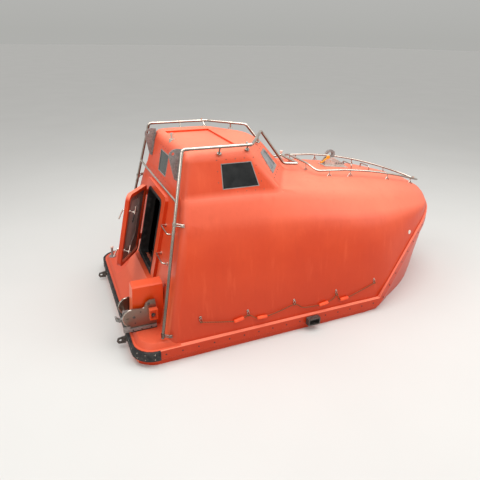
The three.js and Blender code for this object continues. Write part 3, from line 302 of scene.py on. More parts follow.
materials = {
    "gelcoat": makeGelcoat("gelcoatOrangeMoulded", 0.95, "DE4719", "D33E14"),
    "gelcoatDeck": makeGelcoat("gelcoatOrangePaintedLit", 0.30, "FF5C10", "FF5410"),  # brighter copy of the gelcoat: painted light for the lit platform
    "insideShade": makePlastic("layUpInsidePaintedShade", "2A2725", "383432", 0.7, 0.9, 9),  # rough inner side, dark grey as painted shade inside the cabin; the lay-up itself is pale
    "steel": makeStainless("stainlessPolished", (0.2, 0.34), 0.66, 0.8),
    "steelRail": makeStainless("stainlessTubeReflectionLow", (0.18, 0.3), 0.66, 0.8, 0.75),  # painted dark reflection at the foot
    "brushed": makeStainless("stainlessGround", (0.34, 0.5), 0.6, 0.25),  # sheet metal, duller than the tube
    "soiled": makeStainless("stainlessSheetDarkReflection", (0.26, 0.42), 0.3, 0.5, 0.5),  # brown all over: painted dark reflection
    "zinc": makeGalvanised("steelGalvanised", "A5A29E", "8B8784", 0.25),
    "zincNew": makeGalvanised("steelGalvanisedNew", "E0D8CF", "C4BCB4", 0.1),
    "zincDark": makeGalvanised("steelGalvanisedGrimy", "6E6762", "4A4440", 0.6),
    "rubber": makeRubber("rubberExtruded"),
    "glass": makeGlazing("acrylicSmoked", "17191A", "3A3B3B", 0.25),
    "glassAft": makeGlazing("acrylicGreenGrey", "2A3430", "4C5550", 0.25),
    "glassPale": makeGlazing("acrylicPaintedSkyReflection", "77787A", "A9A9A8", 0.1),  # pale grey: painted reflection of the sky on the front panes
    "glassDoor": makeGlazing("acrylicBrownSmoked", "CDBFB8", "DFD2CC", 0.0),
    "rope": makeRope("ropePolypropyleneLaid"),
    "float": makePlastic("foamFloatOrange", "F04A1C", "FF5C28", 0.45, 0.6, 4),  # closed-cell, soft sheen
    "bronze": makePlastic("bronzeCast", "7A5A2A", "A37C3E", 0.3, 0.5, 6, 0.9),
    "greyMoulding": makePlastic("polythenePanelGrey", "4A4342", "5C5351", 0.45, 0.6, 5),
    "brownMoulding": makePlastic("polythenePanelBrown", "8E7770", "9E8880", 0.4, 0.6, 5),
    "white": makePlastic("paintWhiteGloss", "DCD2C6", "F2E8DC", 0.35, 0.5, 4),
    "yellow": makePlastic("paintYellowEnamel", "D98E12", "F0A81C", 0.3, 0.5, 4),
    "greyFrame": makePlastic("aluminiumFrameOxidised", "83807D", "9C9995", 0.4, 0.6, 5),
    "dark": makePlastic("paintBlackMatt", "1B1A1A", "2C2928", 0.5, 0.7, 4),
}
print("materials made:", len(materials))


# The port side mirrors the starboard one, which is drawn
def mirrored(point):
    return Vector((point[0], -point[1], point[2]))


bothSides = (("starboard", Vector), ("port", mirrored))
forward, portward, upward = Vector((1, 0, 0)), Vector((0, 1, 0)), Vector((0, 0, 1))


# Makes a shape into a piece that rides a body: soft edges are those that bend less than the given angle
def finishPiece(name, shape, finish, soft=32, stands=(), body="boat", inside=None):
    bmesh.ops.recalc_face_normals(shape, faces=shape.faces)
    limit = radians(soft)
    for edge in shape.edges:
        edge.smooth = edge.smooth and len(edge.link_faces) == 2 and edge.calc_face_angle(0) < limit
    for face in shape.faces:
        face.smooth = True
    piece = meshInto(name, shape, [materials[key] for key in (finish, inside) if key])
    piece.modifiers.new("weightedNormal", "WEIGHTED_NORMAL").keep_sharp = True
    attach(piece, body)
    if stands:
        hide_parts(*stands)


# Open edges of a shape and their ends, in an order that is the same each run
def openRims(shape):
    rims = [e for e in shape.edges if len(e.link_faces) == 1]
    return rims, list(dict.fromkeys(v for e in rims for v in e.verts))


# Joins open rims that lie against each other, also where one has a point on the other's edge
def closeSeams(shape, reach):
    for _ in range(8):
        bmesh.ops.remove_doubles(shape, verts=openRims(shape)[1], dist=reach)
        rims, spots = openRims(shape)
        for edge in rims:
            a, b = edge.verts
            span = b.co - a.co
            inside = []
            for spot in spots:
                t = (spot.co - a.co).dot(span) / max(span.length_squared, 1e-12)
                if spot not in (a, b) and 0 < t < 1 and (a.co + span * t - spot.co).length < reach:
                    inside.append((t, spot))
            if inside:
                t, spot = min(inside, key=lambda pair: pair[0])
                cutAt = bmesh.utils.edge_split(edge, a, t)[1]
                cutAt.co = spot.co


# Takes out thin faces that lie folded back on a neighbour, by closing their shortest edge
def unfold(shape, longest):
    for _ in range(14):
        shape.normal_update()
        closed, taken = {}, set()
        for edge in shape.edges:
            if len(edge.link_faces) != 2 or edge.link_faces[0].normal.dot(edge.link_faces[1].normal) > -0.85:
                continue
            thin = min(edge.link_faces, key=lambda face: face.calc_area())
            short = min(thin.edges, key=lambda side: side.calc_length())
            a, b = short.verts
            if short.calc_length() < longest and a not in taken and b not in taken:
                closed[a] = b
                taken |= {a, b}
        if not closed:
            break
        bmesh.ops.weld_verts(shape, targetmap=closed)
        bmesh.ops.dissolve_degenerate(shape, edges=shape.edges, dist=1e-5)


# A welded copy of the surface of one or more CAD nodes, left open where a test says that two of them meet
def shapeOf(*nodes, meets=None):
    shape = bmesh.new()
    for node in nodes:
        source = frame["nodes"][node].data
        corners = [shape.verts.new(vertex.co) for vertex in source.vertices]
        for face in source.polygons:
            shape.faces.new([corners[i] for i in face.vertices])
    if meets:
        between = [f for f in shape.faces if meets([v.co for v in f.verts])]
        bmesh.ops.delete(shape, geom=between, context="FACES")
        loose = [v for v in shape.verts if not v.link_faces]
        bmesh.ops.delete(shape, geom=loose, context="VERTS")
    bmesh.ops.remove_doubles(shape, verts=shape.verts, dist=2e-5)
    bmesh.ops.dissolve_degenerate(shape, edges=shape.edges, dist=1e-5)
    if meets:
        closeSeams(shape, 2.4 * mm)
        unfold(shape, 14 * mm)
    bmesh.ops.recalc_face_normals(shape, faces=shape.faces)
    return shape


# Merges the triangles of each flat place
def flatten(shape):
    bmesh.ops.dissolve_limit(shape, angle_limit=radians(0.2), verts=shape.verts, edges=shape.edges,
                             delimit={"MATERIAL"})


# Rounds edges in two steps, the given or else all sharp ones, so that they catch the light
def soften(shape, width, edges=None):
    if not edges:
        edges = [e for e in shape.edges if len(e.link_faces) == 2 and e.calc_face_angle(0) > radians(35)]
    bmesh.ops.bevel(shape, geom=edges, offset=width, segments=2, profile=0.7, affect="EDGES",
                    clamp_overlap=True)


# A CAD node in its finish, with its sharp edges rounded
def dress(name, node, finish, soft, edgeMm=0, slotName=None):
    shape = shapeOf(node)
    flatten(shape)
    if edgeMm:
        soften(shape, edgeMm * mm)
    finishPiece(name, shape, finish, soft, (node,), frame["nodes"][node]["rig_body"])


# Points of a line with its corners rounded
def rounded(points, radius, steps=6):
    path = [Vector(p) for p in points]
    out = [path[0]]
    for before, here, after in zip(path, path[1:], path[2:]):
        back, on = before - here, after - here
        reach = min(radius, back.length * 0.45, on.length * 0.45)
        start, end = here + back.normalized() * reach, here + on.normalized() * reach
        for k in range(steps + 1):
            t = k / steps
            out.append(start.lerp(here, t).lerp(here.lerp(end, t), t))
    return out + [path[-1]]


# A smooth curve through points
def throughPoints(points, steps=8):
    path = [Vector(p) for p in points]
    path = [path[0] * 2 - path[1]] + path + [path[-1] * 2 - path[-2]]
    out = []
    for a, b, c, d in zip(path, path[1:], path[2:], path[3:]):
        for k in range(steps):
            t = k / steps
            out.append(0.5 * ((2 * b) + (c - a) * t + (2 * a - 5 * b + 4 * c - d) * t * t
                              + (3 * b - a - 3 * c + d) * t ** 3))
    return out + [path[-2]]


# Angles of equal steps round a circle
def anglesOf(count, twist=0.0):
    return [2 * pi * k / count + twist for k in range(count)]


# Adds faces between rings of equal count, and closes both ends
def skinInto(shape, rings):
    sides = len(rings[0])
    made = []
    for a, b in zip(rings, rings[1:]):
        for k in range(sides):
            made.append(shape.faces.new((a[k], a[(k + 1) % sides], b[(k + 1) % sides], b[k])))
    made.append(shape.faces.new(rings[0]))
    made.append(shape.faces.new(rings[-1]))
    return made


# Adds a round tube along points, closed at its ends
def tubeInto(shape, points, radius, sides=14):
    path = [Vector(p) for p in points]
    side = None
    rings = []
    for i, point in enumerate(path):
        ahead = (path[min(i + 1, len(path) - 1)] - path[max(i - 1, 0)]).normalized()
        side = side or ahead.orthogonal().normalized()
        side = (side - ahead * side.dot(ahead)).normalized()
        other = ahead.cross(side)
        size = radius(i / (len(path) - 1)) if callable(radius) else radius
        rings.append([shape.verts.new(point + (side * cos(t) + other * sin(t)) * size)
                      for t in anglesOf(sides)])
    skinInto(shape, rings)


# Adds a turned part: rings of a radius and a height in millimetres round an axis
def turnedInto(shape, foot, axis, profile, sides=16, twist=0.0):
    axis = Vector(axis).normalized()
    side = axis.orthogonal().normalized()
    other = axis.cross(side)
    rings = []
    for radius, height in profile:
        middle = Vector(foot) + axis * height * mm
        rings.append([shape.verts.new(middle + (side * cos(t) + other * sin(t)) * radius * mm)
                      for t in anglesOf(sides, twist)])
    skinInto(shape, rings)


# Adds a hexagon bolt on its washer, its size in millimetres
def boltInto(shape, foot, axis, across, turn=0.0):
    washer, head = across * 0.95, across * 0.58
    turnedInto(shape, Vector(foot) - Vector(axis).normalized() * 2 * mm, axis,
               [(washer, 0), (washer, 3), (washer * 0.9, 3.8)], 14)
    profile = [(head, 1.5), (head, across * 0.36), (head * 0.82, across * 0.45)]
    turnedInto(shape, foot, axis, profile, 6, turn)


# Moves the sides of an outline outwards by a distance
def grownOutline(outline, by):
    points = [Vector(p) for p in outline]
    area = sum(a.x * b.y - a.y * b.x for a, b in zip(points, points[1:] + points[:1]))
    out = []
    for before, here, after in zip(points[-1:] + points[:-1], points, points[1:] + points[:1]):
        a, b = (here - before).normalized(), (after - here).normalized()
        na, nb = Vector((a.y, -a.x)), Vector((b.y, -b.x))
        if area < 0:
            na, nb = -na, -nb
        middle = (na + nb).normalized()
        out.append(here + middle * (by / max(middle.dot(na), 0.3)))
    return out


# Adds a frame strip round an outline, between two offsets from it
def stripInto(shape, at, u, v, n, outline, inner, outer, low, high):
    sides = [grownOutline(outline, by) for by in (inner, outer)]
    rows = []
    for ring, depth in ((0, low), (0, high), (1, high), (1, low)):
        rows.append([shape.verts.new(at + u * p.x + v * p.y + n * depth) for p in sides[ring]])
    count = len(outline)
    for a, b in zip(rows, rows[1:] + rows[:1]):
        for k in range(count):
            shape.faces.new((a[k], a[(k + 1) % count], b[(k + 1) % count], b[k]))


# A point given above the bolt line
def raised(point):
    return Vector((point[0], point[1], point[2] + seam))


# The raked aft wall, and a place on it
wallRake = 0.2
wallUp = Vector((wallRake, 0, 1)).normalized()
wallOut = Vector((-1, 0, wallRake)).normalized()


def onWall(y, z, out=0.0):
    return Vector((-2.012 + wallRake * (z - seam), y, z)) + wallOut * out


canopy = {
    "nodes": ("canopy", "wheelhouse", "aft_bulkhead"),
    # where the three meet
    "bulkheadDepth": 0.092, "sill": 1.505, "sillFore": -0.15,
    "flat": 0.05 * mm, "near": (-0.06 * mm, 0.36 * mm),
    # a face is inside when this share of its rays meets a wall, and the doorway's reveal is inside too
    "insideShare": 0.8, "rays": 18, "doorway": ((-0.264, 0.308), (0.548, 1.390)), "wallMiddle": 1.020,
    # edges of the wheelhouse's foot
    "footHeights": (1.5, 1.625), "footFore": -0.15, "footBend": radians(-15), "footShortest": 3 * mm,
    "filletReach": 45 * mm, "filletSteps": 6, "filletPitch": 0.05, "filletGap": 0.12,
}


# Whether a face lies between two of the canopy's nodes
def betweenParts(points):
    wall, (low, high) = onWall(0, canopy["wallMiddle"]), canopy["near"]
    sheets = (
        [(wall - p).dot(wallOut) - canopy["bulkheadDepth"] for p in points],
        [canopy["sill"] - p.z for p in points],
        [p.x - canopy["sillFore"] for p in points],
    )
    return any(max(away) - min(away) < canopy["flat"] and low < min(away) and max(away) < high
               for away in sheets)


# Marks the faces that look into the cabin: nearly every ray from them meets another wall
def paintInside(shape, walls):
    rays = []
    for k in range(canopy["rays"]):
        z = (2 * k + 1) / canopy["rays"] - 1
        reach = sqrt(1 - z * z)
        rays.append(Vector((reach * cos(k * 2.4), reach * sin(k * 2.4), z)))
    (y0, y1), (z0, z1) = canopy["doorway"]
    for face in shape.faces:
        middle, out = face.calc_center_median(), face.normal
        start, ahead = middle + out * 2 * mm, (ray if ray.dot(out) > 0 else -ray for ray in rays)
        hits = sum(walls.ray_cast(start, ray, 4.0)[0] is not None for ray in ahead)
        depth = (middle - onWall(0, canopy["wallMiddle"])).dot(wallOut)
        reveal = abs(out.dot(wallOut)) < 0.2 and depth > -0.11 and y0 < middle.y < y1 and z0 < middle.z < z1
        # faces inside the cabin and the doorway's reveal take the second finish, a dark painted shade
        face.material_index = 1 if hits >= canopy["insideShare"] * len(rays) or reveal else 0


# Places along the wheelhouse's foot from starboard to port, with the normals and inward ways of both faces
def footRows(shape):
    low, high = canopy["footHeights"]
    rows = []
    for edge in shape.edges:
        faces = edge.link_faces
        if (len(faces) != 2 or edge.calc_face_angle_signed(0) >= canopy["footBend"]
                or edge.calc_length() <= canopy["footShortest"]
                or any(v.co.z <= low or v.co.z >= high or v.co.x >= canopy["footFore"] for v in edge.verts)
                or any(f.material_index or f.normal.z <= 0.05 or f.normal.x <= -0.5 for f in faces)):
            continue
        edge.smooth = False
        a, b = (v.co.copy() for v in edge.verts)
        sides = []
        for loop in edge.link_loops:
            along = (loop.link_loop_next.vert.co - loop.vert.co).normalized()
            sides.append((loop.face.normal.copy(), loop.face.normal.cross(along)))
        sides.sort(key=lambda side: side[0].z)
        steps = max(1, round((b - a).length / canopy["filletPitch"]))
        for k in range(steps):
            rows.append((a.lerp(b, (k + 0.5) / steps), sides))
    rows.sort(key=lambda row: atan2(row[0].y, row[0].x + 1.2))
    return rows


# Lays a hollow fillet in the corner that the rows follow
def makeFillet(rows, walls):
    reach, steps = canopy["filletReach"], canopy["filletSteps"]
    ribs = []
    for point, sides in rows:
        ends = []
        for normal, across in sides:
            hit = walls.ray_cast(point + across * reach + normal * 0.08, -normal, 0.2)
            ends.append((hit[0] or point + across * reach) + normal * 0.4 * mm)
        bent = []
        for k in range(steps + 1):
            t = k / steps
            bent.append(ends[0].lerp(point, t).lerp(point.lerp(ends[1], t), t))
        if ribs:
            on = bent[steps // 2] - ribs[-1][steps // 2]
            if min(on.dot(here - before) for here, before in zip(bent, ribs[-1])) < 0.2 * on.length_squared:
                continue  # this rib would cross the last one
        ribs.append(bent)
    strip = bmesh.new()
    for a, b in zip(ribs, ribs[1:]):
        if (a[0] - b[0]).length < canopy["filletGap"]:
            corners = [[strip.verts.new(p) for p in rib] for rib in (a, b)]
            for k in range(steps):
                strip.faces.new((corners[0][k], corners[0][k + 1], corners[1][k + 1], corners[1][k]))
    bmesh.ops.remove_doubles(strip, verts=strip.verts, dist=1e-5)
    finishPiece("wheelhouse_fillet", strip, "gelcoat", 60)


def makeCanopy():
    shape = shapeOf(*canopy["nodes"], meets=betweenParts)
    closed = shapeOf(*canopy["nodes"], "hull", "aft_platform", "aft_window", "side_window_starboard",
                     "side_window_port", "front_window_starboard", "front_window_port")
    walls = BVHTree.FromBMesh(closed)
    closed.free()
    paintInside(shape, walls)
    flatten(shape)
    rows = footRows(shape)
    finishPiece("canopy_shell", shape, "gelcoat", 28, canopy["nodes"], inside="insideShade")
    makeFillet(rows, walls)


makeCanopy()
print("canopy joined")


windows = {
    "paneEdgeMm": 1.5, "frameDeep": -6 * mm, "boltMm": 5, "boltOffset": 42 * mm, "boltPitch": 0.098,
    # offsets of the frame's inner and outer rim from the pane's outline, how far it stands proud
    "side_window": (-4 * mm, 3 * mm, 2 * mm), "front_window": (-26 * mm, 4 * mm, 4 * mm),
    "aft_window": (-5 * mm, 4 * mm, 2 * mm),
}


def windowPlanes():
    lean = 110 / 410
    sideAt = Vector((-1.09, -(0.826 - (1.64 - 1.38) * lean), seam + 1.64))
    sideUp, sideOut = Vector((0, lean, 1)).normalized(), Vector((0, -1, lean)).normalized()
    sideOutline = [(-0.192, 0.128), (0.14, 0.128), (0.212, -0.128), (-0.192, -0.128)]
    corners = ((-0.88, -0.716, 1.79), (-0.53, -0.19, 1.79), (-0.56, -0.826, 1.38))
    roof, nose, foot = (raised(p) for p in corners)
    along = (nose - roof).normalized()
    out = (foot - roof).cross(along).normalized()
    rise = out.cross(along).normalized()
    frontAt = roof + along * 0.375 - rise * 0.11
    frontOutline = [(-0.12, 0.105), (0.1, 0.105), (0.125, -0.14), (-0.205, -0.14)]
    aftOutline = [(-0.166, 0.12), (0.166, 0.12), (0.156, -0.12), (-0.156, -0.12)]
    sides, middle = (("_starboard", Vector), ("_port", mirrored)), (("", Vector),)
    aftAt = onWall(0.025, seam + 1.62)
    return [
        # node, its two sides, centre, along, up, out, outline, finish
        ("side_window", sides, sideAt, forward, sideUp, sideOut, sideOutline, "glass"),
        ("front_window", sides, frontAt, along, rise, out, frontOutline, "glassPale"),
        ("aft_window", middle, aftAt, portward, wallUp, wallOut, aftOutline, "glassAft"),
    ]


def makeWindows():
    frames, bolts = bmesh.new(), bmesh.new()
    for node, sides, at, u, v, n, outline, finish in windowPlanes():
        inner, outer, proud = windows[node]
        for ending, flip in sides:
            where, a, b, c = flip(at), flip(u), flip(v), flip(n)
            dress(f"{node}_pane{ending}", node + ending, finish, 32, windows["paneEdgeMm"])
            stripInto(frames, where, a, b, c, outline, inner, outer, windows["frameDeep"], proud)
            ring = grownOutline(outline, windows["boltOffset"])
            for p, q in zip(ring, ring[1:] + ring[:1]):
                count = max(2, round((q - p).length / windows["boltPitch"]))
                for k in range(count):
                    spot = p.lerp(q, k / count)
                    boltInto(bolts, where + a * spot.x + b * spot.y, c, windows["boltMm"], k * 0.7)
    finishPiece("window_frames", frames, "greyFrame", 40)
    finishPiece("window_bolts", bolts, "zincDark", 30)


makeWindows()
print("windows set")

door = {
    "hinge": (0.336, 1.02, 0.05), "open": radians(31), "inner": -2 * mm, "outer": -46 * mm,
    # end, height and reach of the grip
    "handleY": -0.543, "handles": (("upper", 0.185, 0.095), ("lower", -0.285, 0.08)),
    "grip": 8 * mm, "latches": [(-0.37, 0.3), (-0.3, -0.4)],
    "sealTall": 0.85, "sealWide": 0.568, "sealMid": (0.022, 0.969), "sealRadius": 60 * mm,
    "sealOffsets": (-22 * mm, -1 * mm, -10 * mm, 40 * mm),
}


# Points of a rounded rectangle
def roundRect(width, height, radius, steps=5):
    out = []
    for sx, sy, quarter in ((1, 1, 0), (-1, 1, 1), (-1, -1, 2), (1, -1, 3)):
        for k in range(steps + 1):
            angle = (quarter + k / steps) * pi / 2
            out.append((sx * (width / 2 - radius) + radius * cos(angle),
                        sy * (height / 2 - radius) + radius * sin(angle)))
    return out


def makeDoor():
    seal = bmesh.new()
    outline = roundRect(door["sealWide"], door["sealTall"], door["sealRadius"])
    stripInto(seal, onWall(*door["sealMid"]), portward, wallUp, wallOut, outline, *door["sealOffsets"])
    finishPiece("door_seal_lip", seal, "rubber", 50)
    axes = Matrix([-wallOut, portward, wallUp]).transposed() @ Matrix.Rotation(-door["open"], 3, "Z")
    pivot = onWall(*door["hinge"])

    def inLeaf(x, y, z):
        return pivot + axes @ Vector((x, y, z))

    def barInto(shape, points, radius, sides=12):
        tubeInto(shape, [inLeaf(*p) for p in points], radius, sides)

    inner, outer, y, grip = door["inner"], door["outer"], door["handleY"], door["grip"]
    for end, z, tip in door["handles"]:
        bars = bmesh.new()
        barInto(bars, [(outer - 0.04, y, z), (inner + 0.06, y, z)], grip * 0.9)
        barInto(bars, [(outer - 0.036, y, z), (outer - 0.044, y - 0.01, z - 0.03),
                       (outer - 0.05, y - 0.055, z - tip)], grip)
        barInto(bars, [(inner + 0.056, y - 0.004, z - 0.02), (inner + 0.056, y, z),
                       (inner + 0.05, y + 0.03, z + 0.065)], grip)
        barInto(bars, [(inner + 0.05, y - 0.016, z + 0.012),
                       (inner + 0.056, y + 0.062, z - 0.004)], grip * 0.8)
        for x, way in ((inner, 1), (outer, -1)):
            turnedInto(bars, inLeaf(x, y, z), axes @ forward * way, [(17, 0), (17, 5), (13, 9)], 18)
        finishPiece(f"door_handle_{end}_bar", bars, "steel", 50, (f"door_handle_{end}",), "door")
    latches, lever = bmesh.new(), bmesh.new()
    for at, z in door["latches"]:
        turnedInto(latches, inLeaf(inner - 0.004, at, z), axes @ forward, [(9, 0), (9, 8), (6, 10)], 14)
        latch = [(inner + 0.004, at + reach, z - reach / 7.5) for reach in (-0.03, 0.03)]
        barInto(latches, latch, 4 * mm, 10)
    finishPiece("door_latches", latches, "steel", 50, body="door")
    z = door["handles"][0][1]
    barInto(lever, [(inner + 0.058, y, z - 0.01), (inner + 0.05, y - 0.006, z - 0.115)], 7 * mm)
    finishPiece("door_lever_black", lever, "dark", 50, body="door")


makeDoor()
print("door hung")

rail = {
    "tube": 16 * mm, "foreTube": 13 * mm, "post": 9 * mm, "forePost": 6 * mm, "bend": 38 * mm,
    "foot": (-2.045, -1.115, 0.128), "elbow": (-1.68, -0.716, 1.94), "cross": 1.449,
    "roof": [(-0.94, -0.72, 1.94), (-0.601, -0.213, 1.964), (-0.257, -0.173, 1.54), (-0.083, -0.225, 1.536),
             (-0.083, 0.0, 1.536)],
    "roofFeet": [((-1.29, -0.718, 1.94), (-1.29, -0.69, 1.872)),
                 ((-0.985, -0.719, 1.94), (-0.975, -0.668, 1.888)),
                 ((-0.726, -0.4, 1.952), (-0.726, -0.4, 1.892))],
    # sleeves on the sloping part by height, on the roof by x
    "sleeve": 18.5 * mm, "sleevesUp": [(1.885, 1.915), (1.16, 1.18)],
    "sleevesRoof": [(-1.655, -1.615), (-1.3, -1.28), (-0.995, -0.95)],
    # height, reach forward and outward
    "clamps": [(1.24, 0.084, 0.084), (0.16, 0.084, 0.062)],
    "fore": [(0.04, 0.0, 1.528), (0.04, 0.24, 1.528), (0.078, 0.41, 1.48), (0.482, 0.415, 1.456),
             (0.871, 0.408, 1.4), (1.229, 0.385, 1.324), (1.543, 0.33, 1.239), (1.8, 0.24, 1.157),
             (1.975, 0.12, 1.095), (2.03, 0.0, 1.07)],
    "foreFeet": [(0.04, 0.205, 1.528, 0.12), (0.25, 0.414, 1.469, 0.085), (0.56, 0.414, 1.446, 0.085),
                 (1.18, 0.388, 1.336, 0.105), (1.69, 0.282, 1.193, 0.095)],
}


# A place on the sloping part of the stern rail
def sternRun(height):
    foot, elbow = Vector(rail["foot"]), Vector(rail["elbow"])
    return foot.lerp(elbow, (height - foot.z) / (elbow.z - foot.z))


def clampInto(shape, at, reach, outward, side):
    tubeInto(shape, [at - upward * 0.022, at + upward * 0.022], rail["tube"] + 5 * mm, 16)
    for height in (-0.011, 0.011):  # two straps from the tube to the pad on the wall
        level = at + upward * height
        tubeInto(shape, [level, level + forward * reach * 0.5 + side * outward * 0.5,
                         level + forward * reach + side * outward * 0.85], 6.5 * mm, 10)
    pad = at + forward * reach * 0.72 + side * outward * 0.8
    turnedInto(shape, pad - side * 8 * mm, side, [(17, 0), (17, 8), (13, 12)], 18)
    boltInto(shape, pad + side * 2 * mm, side, 13)


def makeSternRails():
    sleeves = [(sternRun(a), sternRun(b)) for a, b in rail["sleevesUp"]]
    sleeves += [((a, -0.7165, 1.94), (b, -0.7175, 1.94)) for a, b in rail["sleevesRoof"]]
    for side, flip in bothSides:
        shape = bmesh.new()
        line = [rail["foot"], rail["elbow"]] + rail["roof"]
        tubeInto(shape, [flip(raised(p)) for p in rounded(line, rail["bend"])], rail["tube"], 18)
        for a, b in sleeves:
            tubeInto(shape, [flip(raised(a)), flip(raised(b))], rail["sleeve"], 18)
        for top, foot in rail["roofFeet"]:
            at = flip(raised(foot))
            tubeInto(shape, [flip(raised(top)), at], rail["post"], 14)
            turnedInto(shape, at - upward * 0.012, flip((0, -0.28, 1)), [(26, 0), (26, 12), (22, 15)], 20)
            for t in anglesOf(3):
                boltInto(shape, at + Vector((17 * cos(t), 17 * sin(t), 3)) * mm, upward, 5)
        for height, reach, outward in rail["clamps"]:
            clampInto(shape, flip(raised(sternRun(height))), reach, outward, flip(-portward))
        finishPiece(f"stern_rail_tube_{side}", shape, "steelRail", 40, (f"stern_rail_{side}",))
    shape = bmesh.new()
    end = raised(sternRun(rail["cross"]))
    tubeInto(shape, [end, mirrored(end)], 13 * mm, 16)
    for point, way in ((end, 1), (mirrored(end), -1)):  # weld beads
        turnedInto(shape, point + portward * 0.018 * way, portward, [(14, -4), (16.5, 0), (14, 4)], 16)
    finishPiece("stern_crossbar_tube", shape, "steel", 40, ("stern_crossbar",))


def makeForedeckRail():
    shape = bmesh.new()
    fore = [mirrored(p) for p in rail["fore"]]
    curve = throughPoints(fore[3:] + [Vector(rail["fore"][-2])])[:-8]
    half = [raised(p) for p in rounded(fore[:4], 0.04)[:-1] + curve]
    loop = half + [mirrored(p) for p in reversed(half[1:-1])]
    tubeInto(shape, loop + loop[:2], rail["foreTube"])
    for x, y, z, drop in rail["foreFeet"]:
        for sign in (-1, 1):
            top, foot = raised((x, sign * y, z)), raised((x, sign * (y + 0.006), z - drop))
            tubeInto(shape, [top, foot], rail["forePost"], 10)
            for slant in (-1, 1):  # splayed feet
                toe = foot.lerp(top, 0.06) + forward * slant * 0.036
                tubeInto(shape, [top.lerp(foot, 0.4), toe], 5 * mm, 8)
    finishPiece("foredeck_rail_tube", shape, "steel", 40, ("foredeck_rail",))


makeSternRails()
makeForedeckRail()
print("rails bent")

flange = {
    "boltMm": 9, "pitch": 0.17, "first": -2.035, "aft": -2.085, "outward": 6.3 * mm,
    "bow": [(0.609, 1.2, 0.0), (0.853, 1.113, 0.25), (1.099, 1.008, 0.459), (1.361, 0.873, 0.628),
            (1.634, 0.701, 0.732), (1.875, 0.475, 0.79), (2.035, 0.225, 0.812), (2.1, 0.0, 0.82)],
}


def makeFlangeBolts():
    turn = [raised(mirrored(p)) for p in flange["bow"]]
    curve = throughPoints([raised((0.3, -1.2, 0))] + turn + [mirrored(turn[-2])])[8:-8]
    line = [raised((flange["aft"], -1.2, 0))] + curve
    bolts = bmesh.new()
    for _, flip in bothSides:
        run, due = 0.0, flange["first"] - flange["aft"]
        for point, after in zip(line, line[1:]):
            leg = after - point
            out = leg.cross(upward).normalized()
            while due < run + leg.length:
                spot = point + leg * ((due - run) / leg.length) + out * flange["outward"]
                boltInto(bolts, flip(spot), flip(out), flange["boltMm"], due * 9)
                due += flange["pitch"]
            run += leg.length
    finishPiece("flange_bolts", bolts, "dark", 30)


fender = {
    "face": -2.3483, "side": 1.2183, "corner": 0.23, "boltMm": 7, "across": 28 * mm,
    "along": (-0.88, -0.64, -0.4, -0.16, 0.16, 0.4, 0.64, 0.88), "turns": (10, 34, 58, 82),
}


def makeFenderBolts():
    shape = bmesh.new()
    x, y, corner = fender["face"], fender["side"], fender["corner"]
    spots = [(raised((x, along, 0)), -forward) for along in fender["along"]]
    for sign in (-1, 1):
        for turn in map(radians, fender["turns"]):
            spots.append((raised((x + corner * (1 - cos(turn)), sign * (y - corner * (1 - sin(turn))), 0)),
                          Vector((-cos(turn), sign * sin(turn), 0))))
    for spot, out in spots:
        for height in (-1, 1):
            boltInto(shape, spot + upward * height * fender["across"], out, fender["boltMm"], height)
    finishPiece("fender_bolts", shape, "steel", 30)


makeFlangeBolts()
makeFenderBolts()
print("flange bolted")

lifeline = {
    "rope": 4 * mm, "float": 19 * mm, "eyes": [-1.65, -1.122, -0.559, -0.005, 0.535], "lean": 0.163,
    "floats": [(-1.292, -1.178), (-1.026, -0.906), (-0.245, -0.123), (0.042, 0.154)],
    "line": [(-1.65, 0.248), (-1.4, 0.194), (-1.235, 0.17), (-1.122, 0.205), (-1.026, 0.152),
             (-0.906, 0.148), (-0.74, 0.172), (-0.559, 0.208), (-0.455, 0.15), (-0.3, 0.134),
             (-0.185, 0.134), (-0.06, 0.165),
             (-0.005, 0.212), (0.042, 0.14), (0.154, 0.146), (0.33, 0.19), (0.535, 0.248)],
    # share of a float's length and of its radius
    "swell": [(0.0, 0.55), (0.03, 0.8), (0.09, 1.0), (0.5, 1.04), (0.91, 1.0), (0.97, 0.8), (1.0, 0.55)],
    "knot": ((-0.012, 0.002), (0.01, 0.006), (0.012, -0.004), (-0.008, -0.006)), "knotRadius": 4.5 * mm,
}


# A place off the side's skin, at x and a height above the water
def offSide(x, z, out):
    return Vector((x, -(1.165 - (z - seam - 0.053) * lifeline["lean"] + out), z))


def makeLifelines():
    line = throughPoints([offSide(x, seam + z, 0.02) for x, z in lifeline["line"]])
    out = Vector((0, -1, -lifeline["lean"])).normalized()

    def nearest(x):
        return min(line, key=lambda p: abs(p.x - x))

    for side, flip in bothSides:
        cord, floats, eyes = bmesh.new(), bmesh.new(), bmesh.new()
        tubeInto(cord, [flip(p) for p in line], lifeline["rope"], 8)
        for a, b in lifeline["floats"]:
            start, end = (offSide(x, nearest(x).z, 0.022) for x in (a, b))
            up = out.cross((end - start).normalized()).normalized()
            rings = []
            for share, size in lifeline["swell"]:
                ring = [start.lerp(end, share) + (out * cos(t) + up * sin(t)) * lifeline["float"] * size
                        for t in anglesOf(18)]
                rings.append([floats.verts.new(flip(spot)) for spot in ring])
            skinInto(floats, rings)
        for x in lifeline["eyes"]:
            spot = nearest(x)
            knot = [flip(spot + Vector((dx, -0.002, dz))) for dx, dz in lifeline["knot"]]
            tubeInto(cord, knot, lifeline["knotRadius"], 8)
            top = offSide(x, spot.z + 0.042, 0.001)
            turnedInto(eyes, flip(top), flip(out), [(15, -3), (15, 3), (12, 5)], 18)
            boltInto(eyes, flip(top + out * 5 * mm), flip(out), 9)
            low = top + out * 0.013 - upward * 0.022
            ring = [flip(low + forward * 0.012 * cos(t) + upward * 0.022 * sin(t))
                    for t in anglesOf(16) + [2 * pi]]
            tubeInto(eyes, ring, 3.6 * mm, 8)
        finishPiece(f"lifeline_rope_{side}", cord, "rope", 60, (f"lifeline_{side}",))
        finishPiece(f"lifeline_floats_{side}", floats, "float", 50)
        finishPiece(f"lifeline_eyes_{side}", eyes, "steel", 40)


